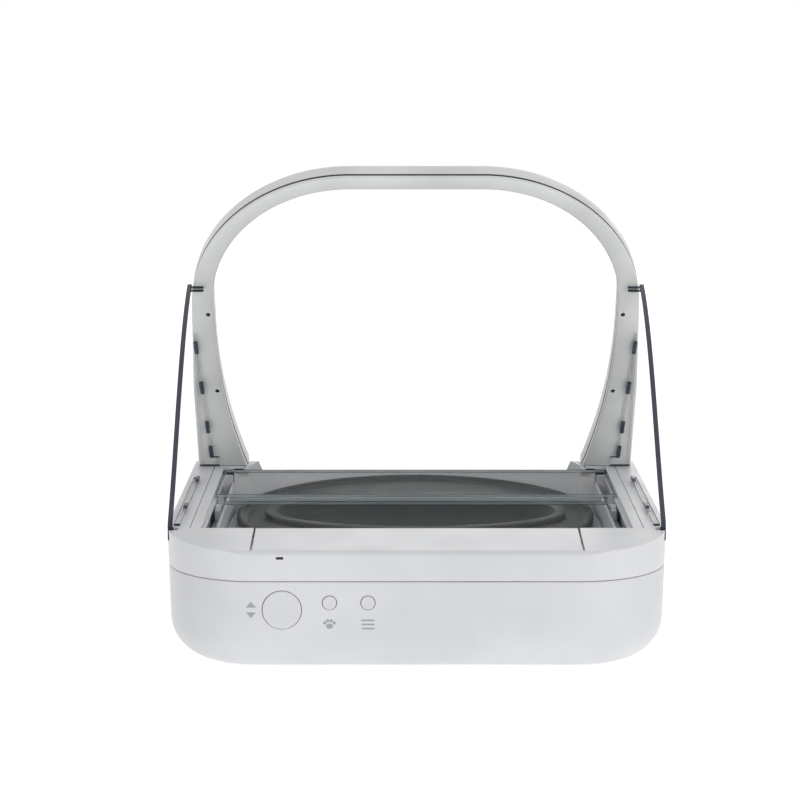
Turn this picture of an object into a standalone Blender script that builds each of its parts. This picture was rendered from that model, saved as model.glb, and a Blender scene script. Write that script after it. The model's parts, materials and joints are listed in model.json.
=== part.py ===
"""Microchip pet feeder, built from its real pieces.

Metres, +Z up. The origin is at the middle of the footprint on the table. The rear, where the push
buttons are, faces -Y, and the animal eats from the +Y side, through the leaning arch.
"""
import math

import bmesh
import bpy
from mathutils import Matrix, Vector

# Shared fits
GAP = 0.0003
CUT_OVERRUN = 0.002
CIRCLE_STEPS = 24
SMALL_CIRCLE_STEPS = 12
ROUND_STEPS = 3
SHARP_ANGLE = math.radians(35)
MERGE_DISTANCE = 0.00001
WELD_DISTANCE = 0.000002

# Base casings
BASE_WIDTH = 0.230
BASE_DEPTH = 0.318
CORNER_RADIUS = 0.042
CORNER_STEPS = 7
FRONT_REACH = 0.0009
BOTTOM_FILLET = 0.018
FILLET_STEPS = 4
SIDE_DRAFT = math.radians(1.5)
WALL = 0.0024
TOP_WALL = 0.0022
FOOT_HEIGHT = 0.0022
SEAM_REAR_Z = 0.045
SEAM_FRONT_Z = 0.022
CREASE_Z = 0.0588
CREASE_ROUND = 0.003
DECK_Z = 0.062
DECK_DEPTH = 0.0342
SLOPE_START_BEHIND_ARCH = 0.0004
SLOPE_SHOULDER_Z = 0.056
SLOPE_SHOULDER_FROM_FRONT = 0.119
SLOPE_MID_Z = 0.0445
SLOPE_MID_FROM_FRONT = 0.059
LIP_Z = 0.0345
LIP_FROM_FRONT = 0.010
LIP_ROUND = 0.0075
DECK_COVER_INSET = 0.041
DECK_COVER_PLAY = 0.0008
DECK_COVER_HALF_WIDTH = BASE_WIDTH / 2 - DECK_COVER_INSET

# Reader arch
ARCH_LEAN = math.radians(27)
ARCH_FOOT_Y = 0.025
ARCH_HEIGHT = 0.1758
ARCH_FOOT_INSET = 0.0025
ARCH_FOOT_HALF_WIDTH = BASE_WIDTH / 2 - ARCH_FOOT_INSET
ARCH_BULGE = 0.0003
ARCH_BULGE_HALF_WIDTH = ARCH_FOOT_HALF_WIDTH + ARCH_BULGE
ARCH_BULGE_HEIGHT = 0.050
ARCH_SHOULDER_INSET = 0.0015
ARCH_SHOULDER_HALF_WIDTH = ARCH_FOOT_HALF_WIDTH - ARCH_SHOULDER_INSET
ARCH_SHOULDER_HEIGHT = 0.100
ARCH_TOP_FLAT_HALF = 0.032
ARCH_LEG_WIDTH = 0.0125
ARCH_INNER_HALF_WIDTH = ARCH_FOOT_HALF_WIDTH - ARCH_LEG_WIDTH
ARCH_INNER_SHOULDER_HEIGHT = 0.105
ARCH_TOP_BAND = 0.0066
ARCH_FLARE = 0.013
ARCH_FLARE_HEIGHT = 0.088
ARCH_FLARE_STEPS = 6
ARCH_CORNER_STEPS = 12
ARCH_FRONT_DEPTH = 0.009
ARCH_REAR_DEPTH = 0.003
ARCH_SHELL_WALL = 0.0016
ARCH_ROOT = 0.012
COIL_RADIUS = 0.0012
SENSOR_RADIUS = 0.0008
SENSOR_FROM_INNER_EDGE = 0.003
SENSOR_HEIGHTS = (0.050, 0.097)

# Clear side panels
PANEL_THICKNESS = 0.0024
PANEL_INSET = 0.0009
PANEL_OUTER_HALF_WIDTH = BASE_WIDTH / 2 - PANEL_INSET
PANEL_TOP_HEIGHT_ON_ARCH = 0.1155
PANEL_REAR_FROM_REAR = 0.032
PANEL_EDGE_BULGE = 0.0085
PANEL_EDGE_BULGE_scale = 6.75
PANEL_EDGE_STEPS = 10
PANEL_TOE = 0.003
PANEL_TAPER = 0.0019
PANEL_FOOT_REACH = 0.0043
PANEL_FOOT_THICKNESS = 0.0018
PANEL_LEDGE_Z = 0.0565
PANEL_LEDGE_INSETS = (0.0056, 0.0056)
PANEL_LEDGE_FROM_REAR = (0.0355, 0.0308)
PANEL_LEDGE_RIM = 0.0012
PANEL_LEDGE_FLOOR = 0.0018
CLIP_HEIGHTS_ON_ARCH = (0.0125, 0.0285, 0.0535, 0.0785)
CLIP_LENGTH = 0.007
CLIP_WIDTH = 0.002
CLIP_DEPTH = 0.0012
FLANGE_THICKNESS = 0.0012
FLANGE_SET_BACK = 0.0002
FLANGE_LOW = 0.003
FLANGE_TIP_INSET = 0.0104
FLANGE_SPREAD_share = 0.0818
FLANGE_BAR_HEIGHT = 0.0055
FLANGE_BAR_INSET = 0.0135
TOP_TAB_HEIGHT = 0.002
TOP_TAB_REACH = 0.0065
DECK_FLANGE_INSET = 0.0063
CLIP_ROOT = 0.001
PANEL_FOOT_CLIP_YS = (-0.086, -0.022)

# Lid opening, rails and leaves
LID_OPENING_INSET = 0.0107
LID_OPENING_HALF_WIDTH = BASE_WIDTH / 2 - LID_OPENING_INSET
RAIL_FLANGE_WIDTH = 0.0051
RAIL_FLANGE_INNER_X = LID_OPENING_HALF_WIDTH - RAIL_FLANGE_WIDTH
RAIL_FLANGE_THICKNESS = 0.0018
RAIL_FLANGE_LIP = 0.0013
RAIL_WEB_INSET = 0.0041
RAIL_WEB_X = LID_OPENING_HALF_WIDTH - RAIL_WEB_INSET
RAIL_WEB_THICKNESS = 0.0016
RAIL_CHANNEL_WIDTH = 0.0063
RAIL_INNER_WALL_X = RAIL_WEB_X - RAIL_CHANNEL_WIDTH
RAIL_INNER_WALL_THICKNESS = 0.0012
RAIL_INNER_WALL_TOP_Z = 0.0534
RAIL_FLOOR_Z = 0.0342
RAIL_FLOOR_THICKNESS = 0.002
RAIL_LEDGE_REACH = 0.0019
RAIL_LEDGE_THICKNESS = 0.0012
RAIL_END_THICKNESS = 0.0012
RAIL_REAR_Y = -0.1425
RAIL_REAR_TOP_Z = 0.0563
FRONT_LEAF_LENGTH = 0.0626
FRONT_LEAF_TRAVEL = 0.079
REAR_LEAF_TRAVEL = 0.024
REAR_LEAF_REAR_Y = -0.126
REAR_LEAF_INSET = 0.0052
REAR_LEAF_HALF_WIDTH = RAIL_WEB_X - REAR_LEAF_INSET
REAR_LEAF_CORNER = 0.010
LEAF_THICKNESS = 0.0018
LEAF_CORNER = 0.0015
LEAF_CORNER_STEPS = 3
REAR_LEAF_CORNER_STEPS = 5
FRONT_LEAF_TOP_Z = 0.0603
LEAF_STEP = 0.0043
LEAF_LIP_THICKNESS = 0.0014
LEAF_LIP_DROP = 0.0018
LEAF_LIP_INSET = 0.003
LEAF_LIP_HALF_WIDTH = REAR_LEAF_HALF_WIDTH - LEAF_LIP_INSET
LEAF_LIP_PLAY = 0.0005

# Belt drive
SHAFT_Y = -0.136
SHAFT_Z = 0.0434
SHAFT_RADIUS = 0.002
BELT_WIDTH = 0.003
BELT_PLAY = 0.0018
BELT_INNER_X = RAIL_INNER_WALL_X + BELT_PLAY
BELT_THICKNESS = 0.0010
BELT_TOOTH_HEIGHT = 0.0008
BELT_TOOTH_PITCH = 0.0032
TOOTH_START_share = 0.25
TOOTH_END_share = 0.75
BELT_INNER_RADIUS = 0.0049
BELT_END_STEPS = 8
IDLER_Y = -0.002
IDLER_PIN_RADIUS = 0.0014
PULLEY_FLUTES = 10
PULLEY_FLUTE_DEPTH = 0.0006
RUNNER_REAR_Y = -0.058
RUNNER_FRONT_Y = -0.034
RUNNER_WIDTH = 0.0026
RUNNER_PLAY = 0.0015
RUNNER_INNER_X = RAIL_INNER_WALL_X + RUNNER_PLAY
RUNNER_TOP_Z = 0.0555
RUNNER_BOSS_RADIUS = 0.0026
RUNNER_BOSS_FROM_REAR = 0.006
GEARBOX_WIDTH = 0.030
GEARBOX_DEPTH = 0.0235
GEARBOX_TOP_Z = 0.052
GEARBOX_BOTTOM_Z = 0.0092
GEARBOX_X = 0.035
GEARBOX_FRONT_OF_SHAFT = 0.0095
MOTOR_RADIUS = 0.012
MOTOR_LENGTH = 0.030
MOTOR_Z = 0.0225

# Bowl, mat, tray and weighing platform
MAT_INSET = 0.0039
MAT_HALF_WIDTH = RAIL_INNER_WALL_X - MAT_INSET
MAT_HALF_LENGTH = 0.110
MAT_CENTRE_Y = -0.014
MAT_RIM_Z = 0.0465
MAT_TILT_share = 0.035
MAT_THICKNESS = 0.002
MAT_RIM_WIDTH = 0.003
MAT_RIM_HEIGHT = 0.003
MAT_STEPS = 48
BOWL_INSET = 0.014
BOWL_HALF_WIDTH = MAT_HALF_WIDTH - BOWL_INSET
BOWL_HALF_LENGTH = 0.042
BOWL_CENTRE_Y = -0.018
BOWL_THICKNESS = 0.0018
BOWL_RIM_Z = 0.0472
BOWL_RIM_WIDTH = 0.004
BOWL_WALL_SLOPE = 0.0075
BOWL_FLOOR_ROUND = 0.006
BOWL_FLOOR_Z = 0.0192
POCKET_PLAY = 0.001
TRAY_THICKNESS = 0.0016
TRAY_WALL = 0.0016
TRAY_WALL_PLAY = 0.0018
TRAY_WALL_BOTTOM_Z = 0.0365
PLATFORM_INSET = 0.018
PLATFORM_HALF_WIDTH = BOWL_HALF_WIDTH - PLATFORM_INSET
PLATFORM_HALF_LENGTH = 0.028
PLATFORM_THICKNESS = 0.003
LOAD_CELL_LENGTH = 0.080
LOAD_CELL_WIDTH = 0.0127
LOAD_CELL_HOLE_RADIUS = 0.0028
LOAD_CELL_HOLE_SPACING = 0.012

# Controls in the rear wall
BIG_BUTTON_RADIUS = 0.0087
SMALL_BUTTON_RADIUS = 0.0031
BIG_BUTTON_PLACE = (-0.0605, 0.0320)
PET_BUTTON_PLACE = (-0.0392, 0.0353)
FUNCTION_BUTTON_PLACE = (-0.0220, 0.0353)
BUTTON_PROUD = 0.0006
BUTTON_TRAVEL = 0.0005
BUTTON_FLANGE = 0.0012
BUTTON_FLANGE_THICKNESS = 0.001
BUTTON_STEM_RADIUS = 0.0015
BUTTON_STEM_LENGTH = 0.0012
BUTTON_EDGE_ROUND = 0.0005
SWITCH_SIZE = 0.006
SWITCH_PLUNGER_RADIUS = 0.0016
SWITCH_PLUNGER_LENGTH = 0.001
SWITCH_GAP = 0.0008
BOARD_THICKNESS = 0.0016
BOARD_REAR_Y = -0.1489
BOARD_LEFT_X = -0.080
BOARD_RIGHT_X = 0.012
BOARD_LOW_Z = 0.0115
BOARD_HIGH_Z = 0.0386
POST_RADIUS = 0.003
POST_INSET = 0.005
LIGHT_X = -0.0613
LIGHT_Z = 0.0558
LIGHT_WIDTH = 0.0027
LIGHT_HEIGHT = 0.0006
LIGHT_BAR_DEPTH = 0.0016

# Batteries in the front of the base
CELL_RADIUS = 0.0131
CELL_LENGTH = 0.050
CELL_PLAY = 0.0005
CELL_INSET = 0.0545
CELL_X = BASE_WIDTH / 2 - CELL_INSET
CELL_TIP_RADIUS = 0.0033
CELL_TIP_LENGTH = 0.0015
BATTERY_REAR_Y = 0.0235
BOX_WALL = 0.0014
CONTACT_THICKNESS = 0.0008
DOOR_THICKNESS = 0.002
DOOR_TRAVEL = 0.006
DOOR_GRIP_WIDTH = 0.014
DOOR_GRIP_DEPTH = 0.0008
DOOR_GRIP_LENGTH = 0.0014
DOOR_GRIP_COUNT = 4
DOOR_GRIP_PITCH = 0.0035

# Feet and screws
RUBBER_FOOT_RADIUS = 0.0075
RUBBER_FOOT_INSET = 0.0285
RUBBER_FOOT_X = BASE_WIDTH / 2 - RUBBER_FOOT_INSET
RUBBER_FOOT_Y = 0.114
SCREW_INSET = 0.0065
SCREW_X = BASE_WIDTH / 2 - SCREW_INSET
SCREW_YS = (-0.065, 0.075)
SCREW_HEAD_RADIUS = 0.0026
SCREW_HEAD_LENGTH = 0.002
SCREW_SHANK_RADIUS = 0.0014
SCREW_SHANK_LENGTH = 0.014
SCREW_POST_RADIUS = 0.0036
SCREW_SEAT_BELOW_SEAM = 0.004

# Sizes worked out from the ones above
REAR_Y = -BASE_DEPTH / 2
FRONT_Y = BASE_DEPTH / 2
CASE_FLOOR_Z = FOOT_HEIGHT + WALL
DECK_FRONT_Y = REAR_Y + DECK_DEPTH
PANEL_REAR_Y = REAR_Y + PANEL_REAR_FROM_REAR
PANEL_LEDGE_FRONT_Y = REAR_Y + PANEL_LEDGE_FROM_REAR[0]
SEAM_BEND_Y = REAR_Y + CORNER_RADIUS
BLOCK_TOP_Z = DECK_Z + CUT_OVERRUN
ARCH_REAR_FOOT_Y = ARCH_FOOT_Y - ARCH_REAR_DEPTH / math.cos(ARCH_LEAN)
ARCH_FRONT_FOOT_Y = ARCH_FOOT_Y + ARCH_FRONT_DEPTH / math.cos(ARCH_LEAN)
SLOPE_START_Y = ARCH_FRONT_FOOT_Y + SLOPE_START_BEHIND_ARCH
LID_OPENING_FRONT_Y = ARCH_REAR_FOOT_Y - GAP
FRONT_LEAF_FRONT_Y = LID_OPENING_FRONT_Y - GAP
FRONT_LEAF_REAR_Y = FRONT_LEAF_FRONT_Y - FRONT_LEAF_LENGTH
FRONT_LEAF_BOTTOM_Z = FRONT_LEAF_TOP_Z - LEAF_THICKNESS
REAR_LEAF_TOP_Z = FRONT_LEAF_TOP_Z - LEAF_STEP
REAR_LEAF_BOTTOM_Z = REAR_LEAF_TOP_Z - LEAF_THICKNESS
REAR_LEAF_FRONT_Y = FRONT_LEAF_REAR_Y + LEAF_LIP_THICKNESS + LEAF_LIP_PLAY + LEAF_LIP_THICKNESS
BELT_OUTER_RADIUS = BELT_INNER_RADIUS + BELT_TOOTH_HEIGHT + BELT_THICKNESS
PULLEY_RADIUS = BELT_INNER_RADIUS - GAP
POCKET_BOTTOM_Z = BOWL_FLOOR_Z - GAP - MAT_THICKNESS
PLATFORM_TOP_Z = POCKET_BOTTOM_Z - GAP
LOAD_CELL_TOP_Z = PLATFORM_TOP_Z - PLATFORM_THICKNESS - GAP
LOAD_CELL_BOTTOM_Z = CASE_FLOOR_Z + GAP
MAT_UNDERSIDE_Z = MAT_RIM_Z - MAT_RIM_HEIGHT - MAT_THICKNESS
CELL_Z = FOOT_HEIGHT + DOOR_THICKNESS + GAP + CELL_PLAY + CELL_RADIUS
BOX_INNER_HALF_WIDTH = CELL_RADIUS + CELL_PLAY
BOX_INNER_LENGTH = 2 * (CELL_LENGTH + CELL_TIP_LENGTH + CELL_PLAY) + 2 * (CONTACT_THICKNESS + CELL_PLAY)
BATTERY_FRONT_Y = BATTERY_REAR_Y + BOX_INNER_LENGTH

parts = bpy.data.collections.new("microchip_pet_feeder")
cutters = bpy.data.collections.new("cutters")
materials = {}


def clear_scene():
    for thing in list(bpy.data.objects):
        bpy.data.objects.remove(thing, do_unlink=True)


def linear(channel):
    return channel / 12.92 if channel <= 0.04045 else ((channel + 0.055) / 1.055) ** 2.4


def colour(hex_text):
    return [linear(int(hex_text[place:place + 2], 16) / 255) for place in (0, 2, 4)] + [1.0]


def add_material(name, hex_text, roughness, metallic=0.0, transmission=0.0):
    material = bpy.data.materials.new(name)
    material.use_nodes = True
    shader = material.node_tree.nodes["Principled BSDF"]
    shader.inputs["Base Color"].default_value = colour(hex_text)
    shader.inputs["Roughness"].default_value = roughness
    shader.inputs["Metallic"].default_value = metallic
    shader.inputs["Transmission Weight"].default_value = transmission
    material.diffuse_color = colour(hex_text)
    materials[name] = material


def add_materials():
    add_material("white_abs", "d8dadb", 0.4)
    add_material("white_button", "d6d7da", 0.35)
    add_material("arch_abs", "d2d3d1", 0.35)
    add_material("tray_abs", "9fa4aa", 0.45)
    add_material("clear_polycarbonate", "c9d6e0", 0.08, transmission=0.9)
    add_material("mat_rubber", "4a4d4c", 0.55)
    add_material("bowl_plastic", "565959", 0.4)
    add_material("dark_window", "1c1d20", 0.3)
    add_material("acetal", "c8cacc", 0.35)
    add_material("belt_rubber", "8f9498", 0.6)
    add_material("steel", "a8abad", 0.3, metallic=1.0)
    add_material("load_cell_aluminium", "b9bcbf", 0.35, metallic=1.0)
    add_material("gearbox_nylon", "3a3c3f", 0.5)
    add_material("circuit_board", "1f5a38", 0.5)
    add_material("switch_black", "202124", 0.4)
    add_material("cell_jacket", "3c4a5a", 0.35, metallic=0.3)
    add_material("foot_rubber", "8a8c8e", 0.7)
    add_material("enamelled_copper", "9a4f24", 0.35, metallic=0.8)


def add_object(name, mesh, material_name, place=(0, 0, 0), smooth=True):
    """Puts a mesh into the collection, with its faces pointing out."""
    work = bmesh.new()
    work.from_mesh(mesh)
    bmesh.ops.recalc_face_normals(work, faces=work.faces)
    work.to_mesh(mesh)
    work.free()
    mesh.materials.clear()
    if material_name:
        mesh.materials.append(materials[material_name])
    if smooth:
        mesh.shade_smooth()
        mesh.set_sharp_from_angle(angle=SHARP_ANGLE)
    mesh.name = name
    thing = bpy.data.objects.new(name, mesh)
    thing.location = place
    (parts if material_name else cutters).objects.link(thing)
    if not material_name:
        thing.hide_render = True
        thing.display_type = "WIRE"
    return thing


def mesh_from(work, name):
    mesh = bpy.data.meshes.new(name)
    work.to_mesh(mesh)
    work.free()
    return mesh


def box(name, low, high, material_name=None):
    """A block between two corners; without a material it is a cutter."""
    size = [end - start for start, end in zip(low, high)]
    middle = [(start + end) / 2 for start, end in zip(low, high)]
    work = bmesh.new()
    bmesh.ops.create_cube(work, size=1.0)
    bmesh.ops.scale(work, vec=size, verts=work.verts)
    return add_object(name, mesh_from(work, name), material_name, middle, smooth=False)


AXIS_TURNS = {"X": Matrix.Rotation(math.pi / 2, 3, "Y"), "Y": Matrix.Rotation(-math.pi / 2, 3, "X"),
              "Z": Matrix.Identity(3)}


def rod(name, axis, middle, radius, length, material_name=None, steps=CIRCLE_STEPS):
    """A round bar along one axis, centred on a point."""
    work = bmesh.new()
    bmesh.ops.create_cone(work, cap_ends=True, segments=steps, radius1=radius, radius2=radius, depth=length)
    bmesh.ops.rotate(work, cent=(0, 0, 0), matrix=AXIS_TURNS[axis], verts=work.verts)
    return add_object(name, mesh_from(work, name), material_name, middle)


def turned(name, axis, middle, profile, material_name, steps=CIRCLE_STEPS):
    """A turned piece: (radius, height) points down its outer side, swept by a Screw modifier."""
    work = bmesh.new()
    spots = [work.verts.new((radius, 0, height)) for radius, height in profile]
    for first, second in zip(spots, spots[1:]):
        work.edges.new((first, second))
    mesh = mesh_from(work, name)
    mesh.materials.append(materials[material_name])
    thing = bpy.data.objects.new(name, mesh)
    thing.location = middle
    thing.rotation_euler = AXIS_TURNS[axis].to_euler()
    parts.objects.link(thing)
    screw = thing.modifiers.new("sweep", "SCREW")
    screw.steps = steps
    screw.render_steps = steps
    screw.use_merge_vertices = True
    screw.merge_threshold = MERGE_DISTANCE
    screw.use_smooth_shade = False
    return thing


def curve_mesh(curve, name):
    """The evaluated mesh of a curve, with its caps welded."""
    carrier = bpy.data.objects.new(name, curve)
    bpy.context.scene.collection.objects.link(carrier)
    graph = bpy.context.evaluated_depsgraph_get()
    mesh = bpy.data.meshes.new_from_object(carrier.evaluated_get(graph))
    bpy.data.objects.remove(carrier, do_unlink=True)
    bpy.data.curves.remove(curve)
    work = bmesh.new()
    work.from_mesh(mesh)
    bmesh.ops.remove_doubles(work, verts=work.verts, dist=WELD_DISTANCE)
    work.to_mesh(mesh)
    work.free()
    return mesh


def flat_curve(name, outlines, thickness):
    curve = bpy.data.curves.new(name, "CURVE")
    curve.dimensions = "2D"
    curve.fill_mode = "BOTH"
    curve.extrude = thickness / 2
    for outline in outlines:
        spline = curve.splines.new("POLY")
        spline.points.add(len(outline) - 1)
        for point, (across, up) in zip(spline.points, outline):
            point.co = (across, up, 0, 1)
        spline.use_cyclic_u = True
    return curve


# Where a flat outline's own axes point when it lies square to X, Y or Z
PLATE_TURNS = {"X": Matrix(((0, 0, 1), (1, 0, 0), (0, 1, 0))),
               "Y": Matrix(((1, 0, 0), (0, 0, -1), (0, 1, 0))),
               "Z": Matrix.Identity(3)}


def plate(name, axis, outlines, low, high, material_name=None, smooth=True):
    """Flat outlines given thickness from low to high along an axis. A second outline is a hole."""
    mesh = curve_mesh(flat_curve(name, outlines, high - low), name)
    mesh.transform(PLATE_TURNS[axis].to_4x4())
    middle = [0, 0, 0]
    middle["XYZ".index(axis)] = (low + high) / 2
    return add_object(name, mesh, material_name, middle, smooth)


def tube(name, points, radius, material_name):
    """A wire along points, with filled caps."""
    curve = bpy.data.curves.new(name, "CURVE")
    curve.dimensions = "3D"
    curve.bevel_depth = radius
    curve.bevel_resolution = 1
    curve.use_fill_caps = True
    spline = curve.splines.new("POLY")
    spline.points.add(len(points) - 1)
    for point, spot in zip(spline.points, points):
        point.co = (*spot, 1)
    return add_object(name, curve_mesh(curve, name), material_name)


def loft(name, rings, material_name=None):
    """Skins equal rings of points in order, and caps both ends."""
    work = bmesh.new()
    rows = [[work.verts.new(spot) for spot in ring] for ring in rings]
    for low_row, high_row in zip(rows, rows[1:]):
        for place in range(len(low_row)):
            ahead = (place + 1) % len(low_row)
            work.faces.new((low_row[place], low_row[ahead], high_row[ahead], high_row[place]))
    work.faces.new(list(reversed(rows[0])))
    work.faces.new(rows[-1])
    return add_object(name, mesh_from(work, name), material_name)


def change(thing, other, operation):
    """Cuts with another object or joins it on, and hides the other as a cutter."""
    modifier = thing.modifiers.new(operation.lower() + "_" + other.name, "BOOLEAN")
    modifier.operation = operation
    modifier.solver = "EXACT"
    modifier.object = other
    return thing


def cut(thing, *others):
    for other in others:
        change(thing, other, "DIFFERENCE")
    return thing


def join(thing, *others):
    for other in others:
        change(thing, other, "UNION")
    return thing


def move_origin(thing, point):
    """Moves an object's origin to its joint, with the mesh where it was."""
    shift = Vector(point) - thing.location
    thing.data.transform(Matrix.Translation(-shift))
    thing.location = point


def mirrored(outline):
    return [(-across, up) for across, up in reversed(outline)]


def oval(half_width, half_length, centre_y, steps=MAT_STEPS):
    return [(half_width * math.cos(math.tau * step / steps),
             centre_y + half_length * math.sin(math.tau * step / steps)) for step in range(steps)]


def rounded_rectangle(low, high, radius, steps=CORNER_STEPS):
    """Corner points of a flat rectangle with round corners, anticlockwise."""
    points = []
    corners = ((high[0] - radius, high[1] - radius), (low[0] + radius, high[1] - radius),
               (low[0] + radius, low[1] + radius), (high[0] - radius, low[1] + radius))
    for turn, (across, up) in enumerate(corners):
        for step in range(steps + 1):
            angle = math.pi / 2 * (turn + step / steps)
            points.append((across + radius * math.cos(angle), up + radius * math.sin(angle)))
    return points


def seam_z(y):
    """Height of the seam between the casings: level at the rear, lower towards the front lip."""
    if y <= SEAM_BEND_Y:
        return SEAM_REAR_Z
    along = (y - SEAM_BEND_Y) / (FRONT_Y - SEAM_BEND_Y)
    return SEAM_REAR_Z + (SEAM_FRONT_Z - SEAM_REAR_Z) * along


def base_ring(height, inset):
    """One level of the base outline. Height is a number or a function of Y."""
    ring = []
    centre_x = BASE_WIDTH / 2 - CORNER_RADIUS
    centre_y = BASE_DEPTH / 2 - CORNER_RADIUS
    for turn, (side_x, side_y) in enumerate(((1, 1), (-1, 1), (-1, -1), (1, -1))):
        for step in range(CORNER_STEPS + 1):
            angle = math.pi / 2 * (turn + step / CORNER_STEPS)
            out_x, out_y = math.cos(angle), math.sin(angle)
            z = height(side_y * centre_y + CORNER_RADIUS * out_y) if callable(height) else height
            reach = CORNER_RADIUS - inset - (DECK_Z - z) * math.tan(SIDE_DRAFT)
            middle_y = side_y * centre_y + (FRONT_REACH if side_y > 0 else 0)
            ring.append((side_x * centre_x + reach * out_x, middle_y + reach * out_y, z))
    return ring


def wall_outer_y(z):
    """Y of the rear wall's outer face at a height, above the bottom fillet."""
    return REAR_Y + (DECK_Z - z) * math.tan(SIDE_DRAFT)


def fillet_rings(wall):
    """The bottom fillet's rings from the floor up, for the outer skin or one wall inside it."""
    rings = []
    for step in range(FILLET_STEPS + 1):
        angle = math.pi / 2 * step / FILLET_STEPS
        radius = BOTTOM_FILLET - wall
        z = FOOT_HEIGHT + BOTTOM_FILLET - radius * math.cos(angle)
        rings.append(base_ring(z, BOTTOM_FILLET - radius * math.sin(angle)))
    return rings


def crown_outline(drop):
    """What is cut away above the base: the crown line from rear to front, and the block over it."""
    line = [(REAR_Y - CUT_OVERRUN, CREASE_Z - CREASE_ROUND)]
    for step in range(ROUND_STEPS + 1):
        angle = math.pi / 2 * step / ROUND_STEPS
        line.append((REAR_Y + CREASE_ROUND * (1 - math.cos(angle)),
                     CREASE_Z - CREASE_ROUND * (1 - math.sin(angle))))
    line.append((DECK_FRONT_Y, DECK_Z))
    line.append((SLOPE_START_Y, DECK_Z))
    line.append((FRONT_Y - SLOPE_SHOULDER_FROM_FRONT, SLOPE_SHOULDER_Z))
    line.append((FRONT_Y - SLOPE_MID_FROM_FRONT, SLOPE_MID_Z))
    line.append((FRONT_Y - LIP_FROM_FRONT, LIP_Z))
    for step in range(1, ROUND_STEPS + 1):
        angle = math.pi / 2 * step / ROUND_STEPS
        line.append((FRONT_Y - LIP_FROM_FRONT * (1 - math.sin(angle)),
                     LIP_Z - LIP_ROUND * (1 - math.cos(angle))))
    line.append((FRONT_Y + CUT_OVERRUN, LIP_Z - LIP_ROUND))
    lowered = [(y, z - drop) for y, z in line]
    over = BLOCK_TOP_Z + CUT_OVERRUN
    return lowered + [(FRONT_Y + CUT_OVERRUN, over), (REAR_Y - CUT_OVERRUN, over)]


def crown_z(y):
    """Height of the crown line at a Y between the crease and the front lip."""
    line = ((REAR_Y + CREASE_ROUND, CREASE_Z), (DECK_FRONT_Y, DECK_Z), (SLOPE_START_Y, DECK_Z),
            (FRONT_Y - SLOPE_SHOULDER_FROM_FRONT, SLOPE_SHOULDER_Z),
            (FRONT_Y - SLOPE_MID_FROM_FRONT, SLOPE_MID_Z), (FRONT_Y - LIP_FROM_FRONT, LIP_Z))
    for (rear, rear_z), (front, front_z) in zip(line, line[1:]):
        if y <= front:
            return rear_z + (front_z - rear_z) * (y - rear) / (front - rear)
    return LIP_Z


def crown_cutter(name, drop):
    reach = BASE_WIDTH / 2 + CUT_OVERRUN
    return plate(name, "X", [crown_outline(drop)], -reach, reach, smooth=False)


def door_window(side, grow=0.0):
    """Low and high corners, in plan, of the battery bay behind one door."""
    half = BOX_INNER_HALF_WIDTH + BOX_WALL + grow
    low = (side * CELL_X - half, BATTERY_REAR_Y - BOX_WALL - grow)
    high = (side * CELL_X + half, BATTERY_FRONT_Y + BOX_WALL + grow)
    return low, high


def screw_places():
    return [(side * SCREW_X, y) for side in (-1, 1) for y in SCREW_YS]


def lower_edge_z(y):
    return seam_z(y) - GAP / 2


def build_lower_casing():
    rings = fillet_rings(0.0)
    rings.append(base_ring(lower_edge_z, 0.0))
    rings.append(base_ring(lower_edge_z, WALL))
    rings.extend(reversed(fillet_rings(WALL)))
    casing = loft("lower_casing", rings, "white_abs")
    post_bound = loft("lower_post_bound", fillet_rings(WALL / 2) + [base_ring(BLOCK_TOP_Z, WALL / 2)])
    for place, (x, y) in enumerate(screw_places()):
        top = seam_z(y + SCREW_POST_RADIUS) - GAP
        seat = top - SCREW_SEAT_BELOW_SEAM
        post = rod("lower_post_%d" % place, "Z", (x, y, (top + FOOT_HEIGHT + WALL) / 2),
                   SCREW_POST_RADIUS, top - FOOT_HEIGHT - WALL, steps=SMALL_CIRCLE_STEPS)
        change(post, post_bound, "INTERSECT")
        join(casing, post)
        bore = rod("lower_bore_%d" % place, "Z", (x, y, seat / 2 - GAP),
                   SCREW_HEAD_RADIUS + GAP, seat, steps=SMALL_CIRCLE_STEPS)
        shank = rod("lower_shank_bore_%d" % place, "Z", (x, y, top), SCREW_SHANK_RADIUS + GAP,
                    SCREW_SEAT_BELOW_SEAM * 4, steps=SMALL_CIRCLE_STEPS)
        cut(casing, bore, shank)
    for name, (x, z) in board_posts().items():
        wall_y = wall_outer_y(z)
        post = rod(name, "Y", (x, (wall_y + WALL / 2 + BOARD_REAR_Y - GAP) / 2, z), POST_RADIUS,
                   BOARD_REAR_Y - GAP - wall_y - WALL / 2, steps=SMALL_CIRCLE_STEPS)
        join(casing, post)
    for name, (x, z), radius in button_list():
        y = wall_outer_y(z)
        cut(casing, rod(name + "_hole", "Y", (x, y, z), radius + GAP, WALL * 3))
    for side, label in ((-1, "left"), (1, "right")):
        low, high = door_window(side)
        window = box("bay_window_" + label,
                     (low[0], low[1] - DOOR_TRAVEL, FOOT_HEIGHT - CUT_OVERRUN),
                     (high[0], high[1], CASE_FLOOR_Z + CUT_OVERRUN))
        cut(casing, window)
    return casing


def board_posts():
    places = {}
    for row, z in enumerate((BOARD_LOW_Z + POST_INSET, BOARD_HIGH_Z - POST_INSET)):
        for column, x in enumerate((BOARD_LEFT_X + POST_INSET, BOARD_RIGHT_X - POST_INSET)):
            if z > FOOT_HEIGHT + BOTTOM_FILLET:
                places["board_post_%d_%d" % (row, column)] = (x, z)
    return places


def button_list():
    return (("open_close_button", BIG_BUTTON_PLACE, BIG_BUTTON_RADIUS),
            ("add_pet_button", PET_BUTTON_PLACE, SMALL_BUTTON_RADIUS),
            ("function_button", FUNCTION_BUTTON_PLACE, SMALL_BUTTON_RADIUS))


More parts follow.
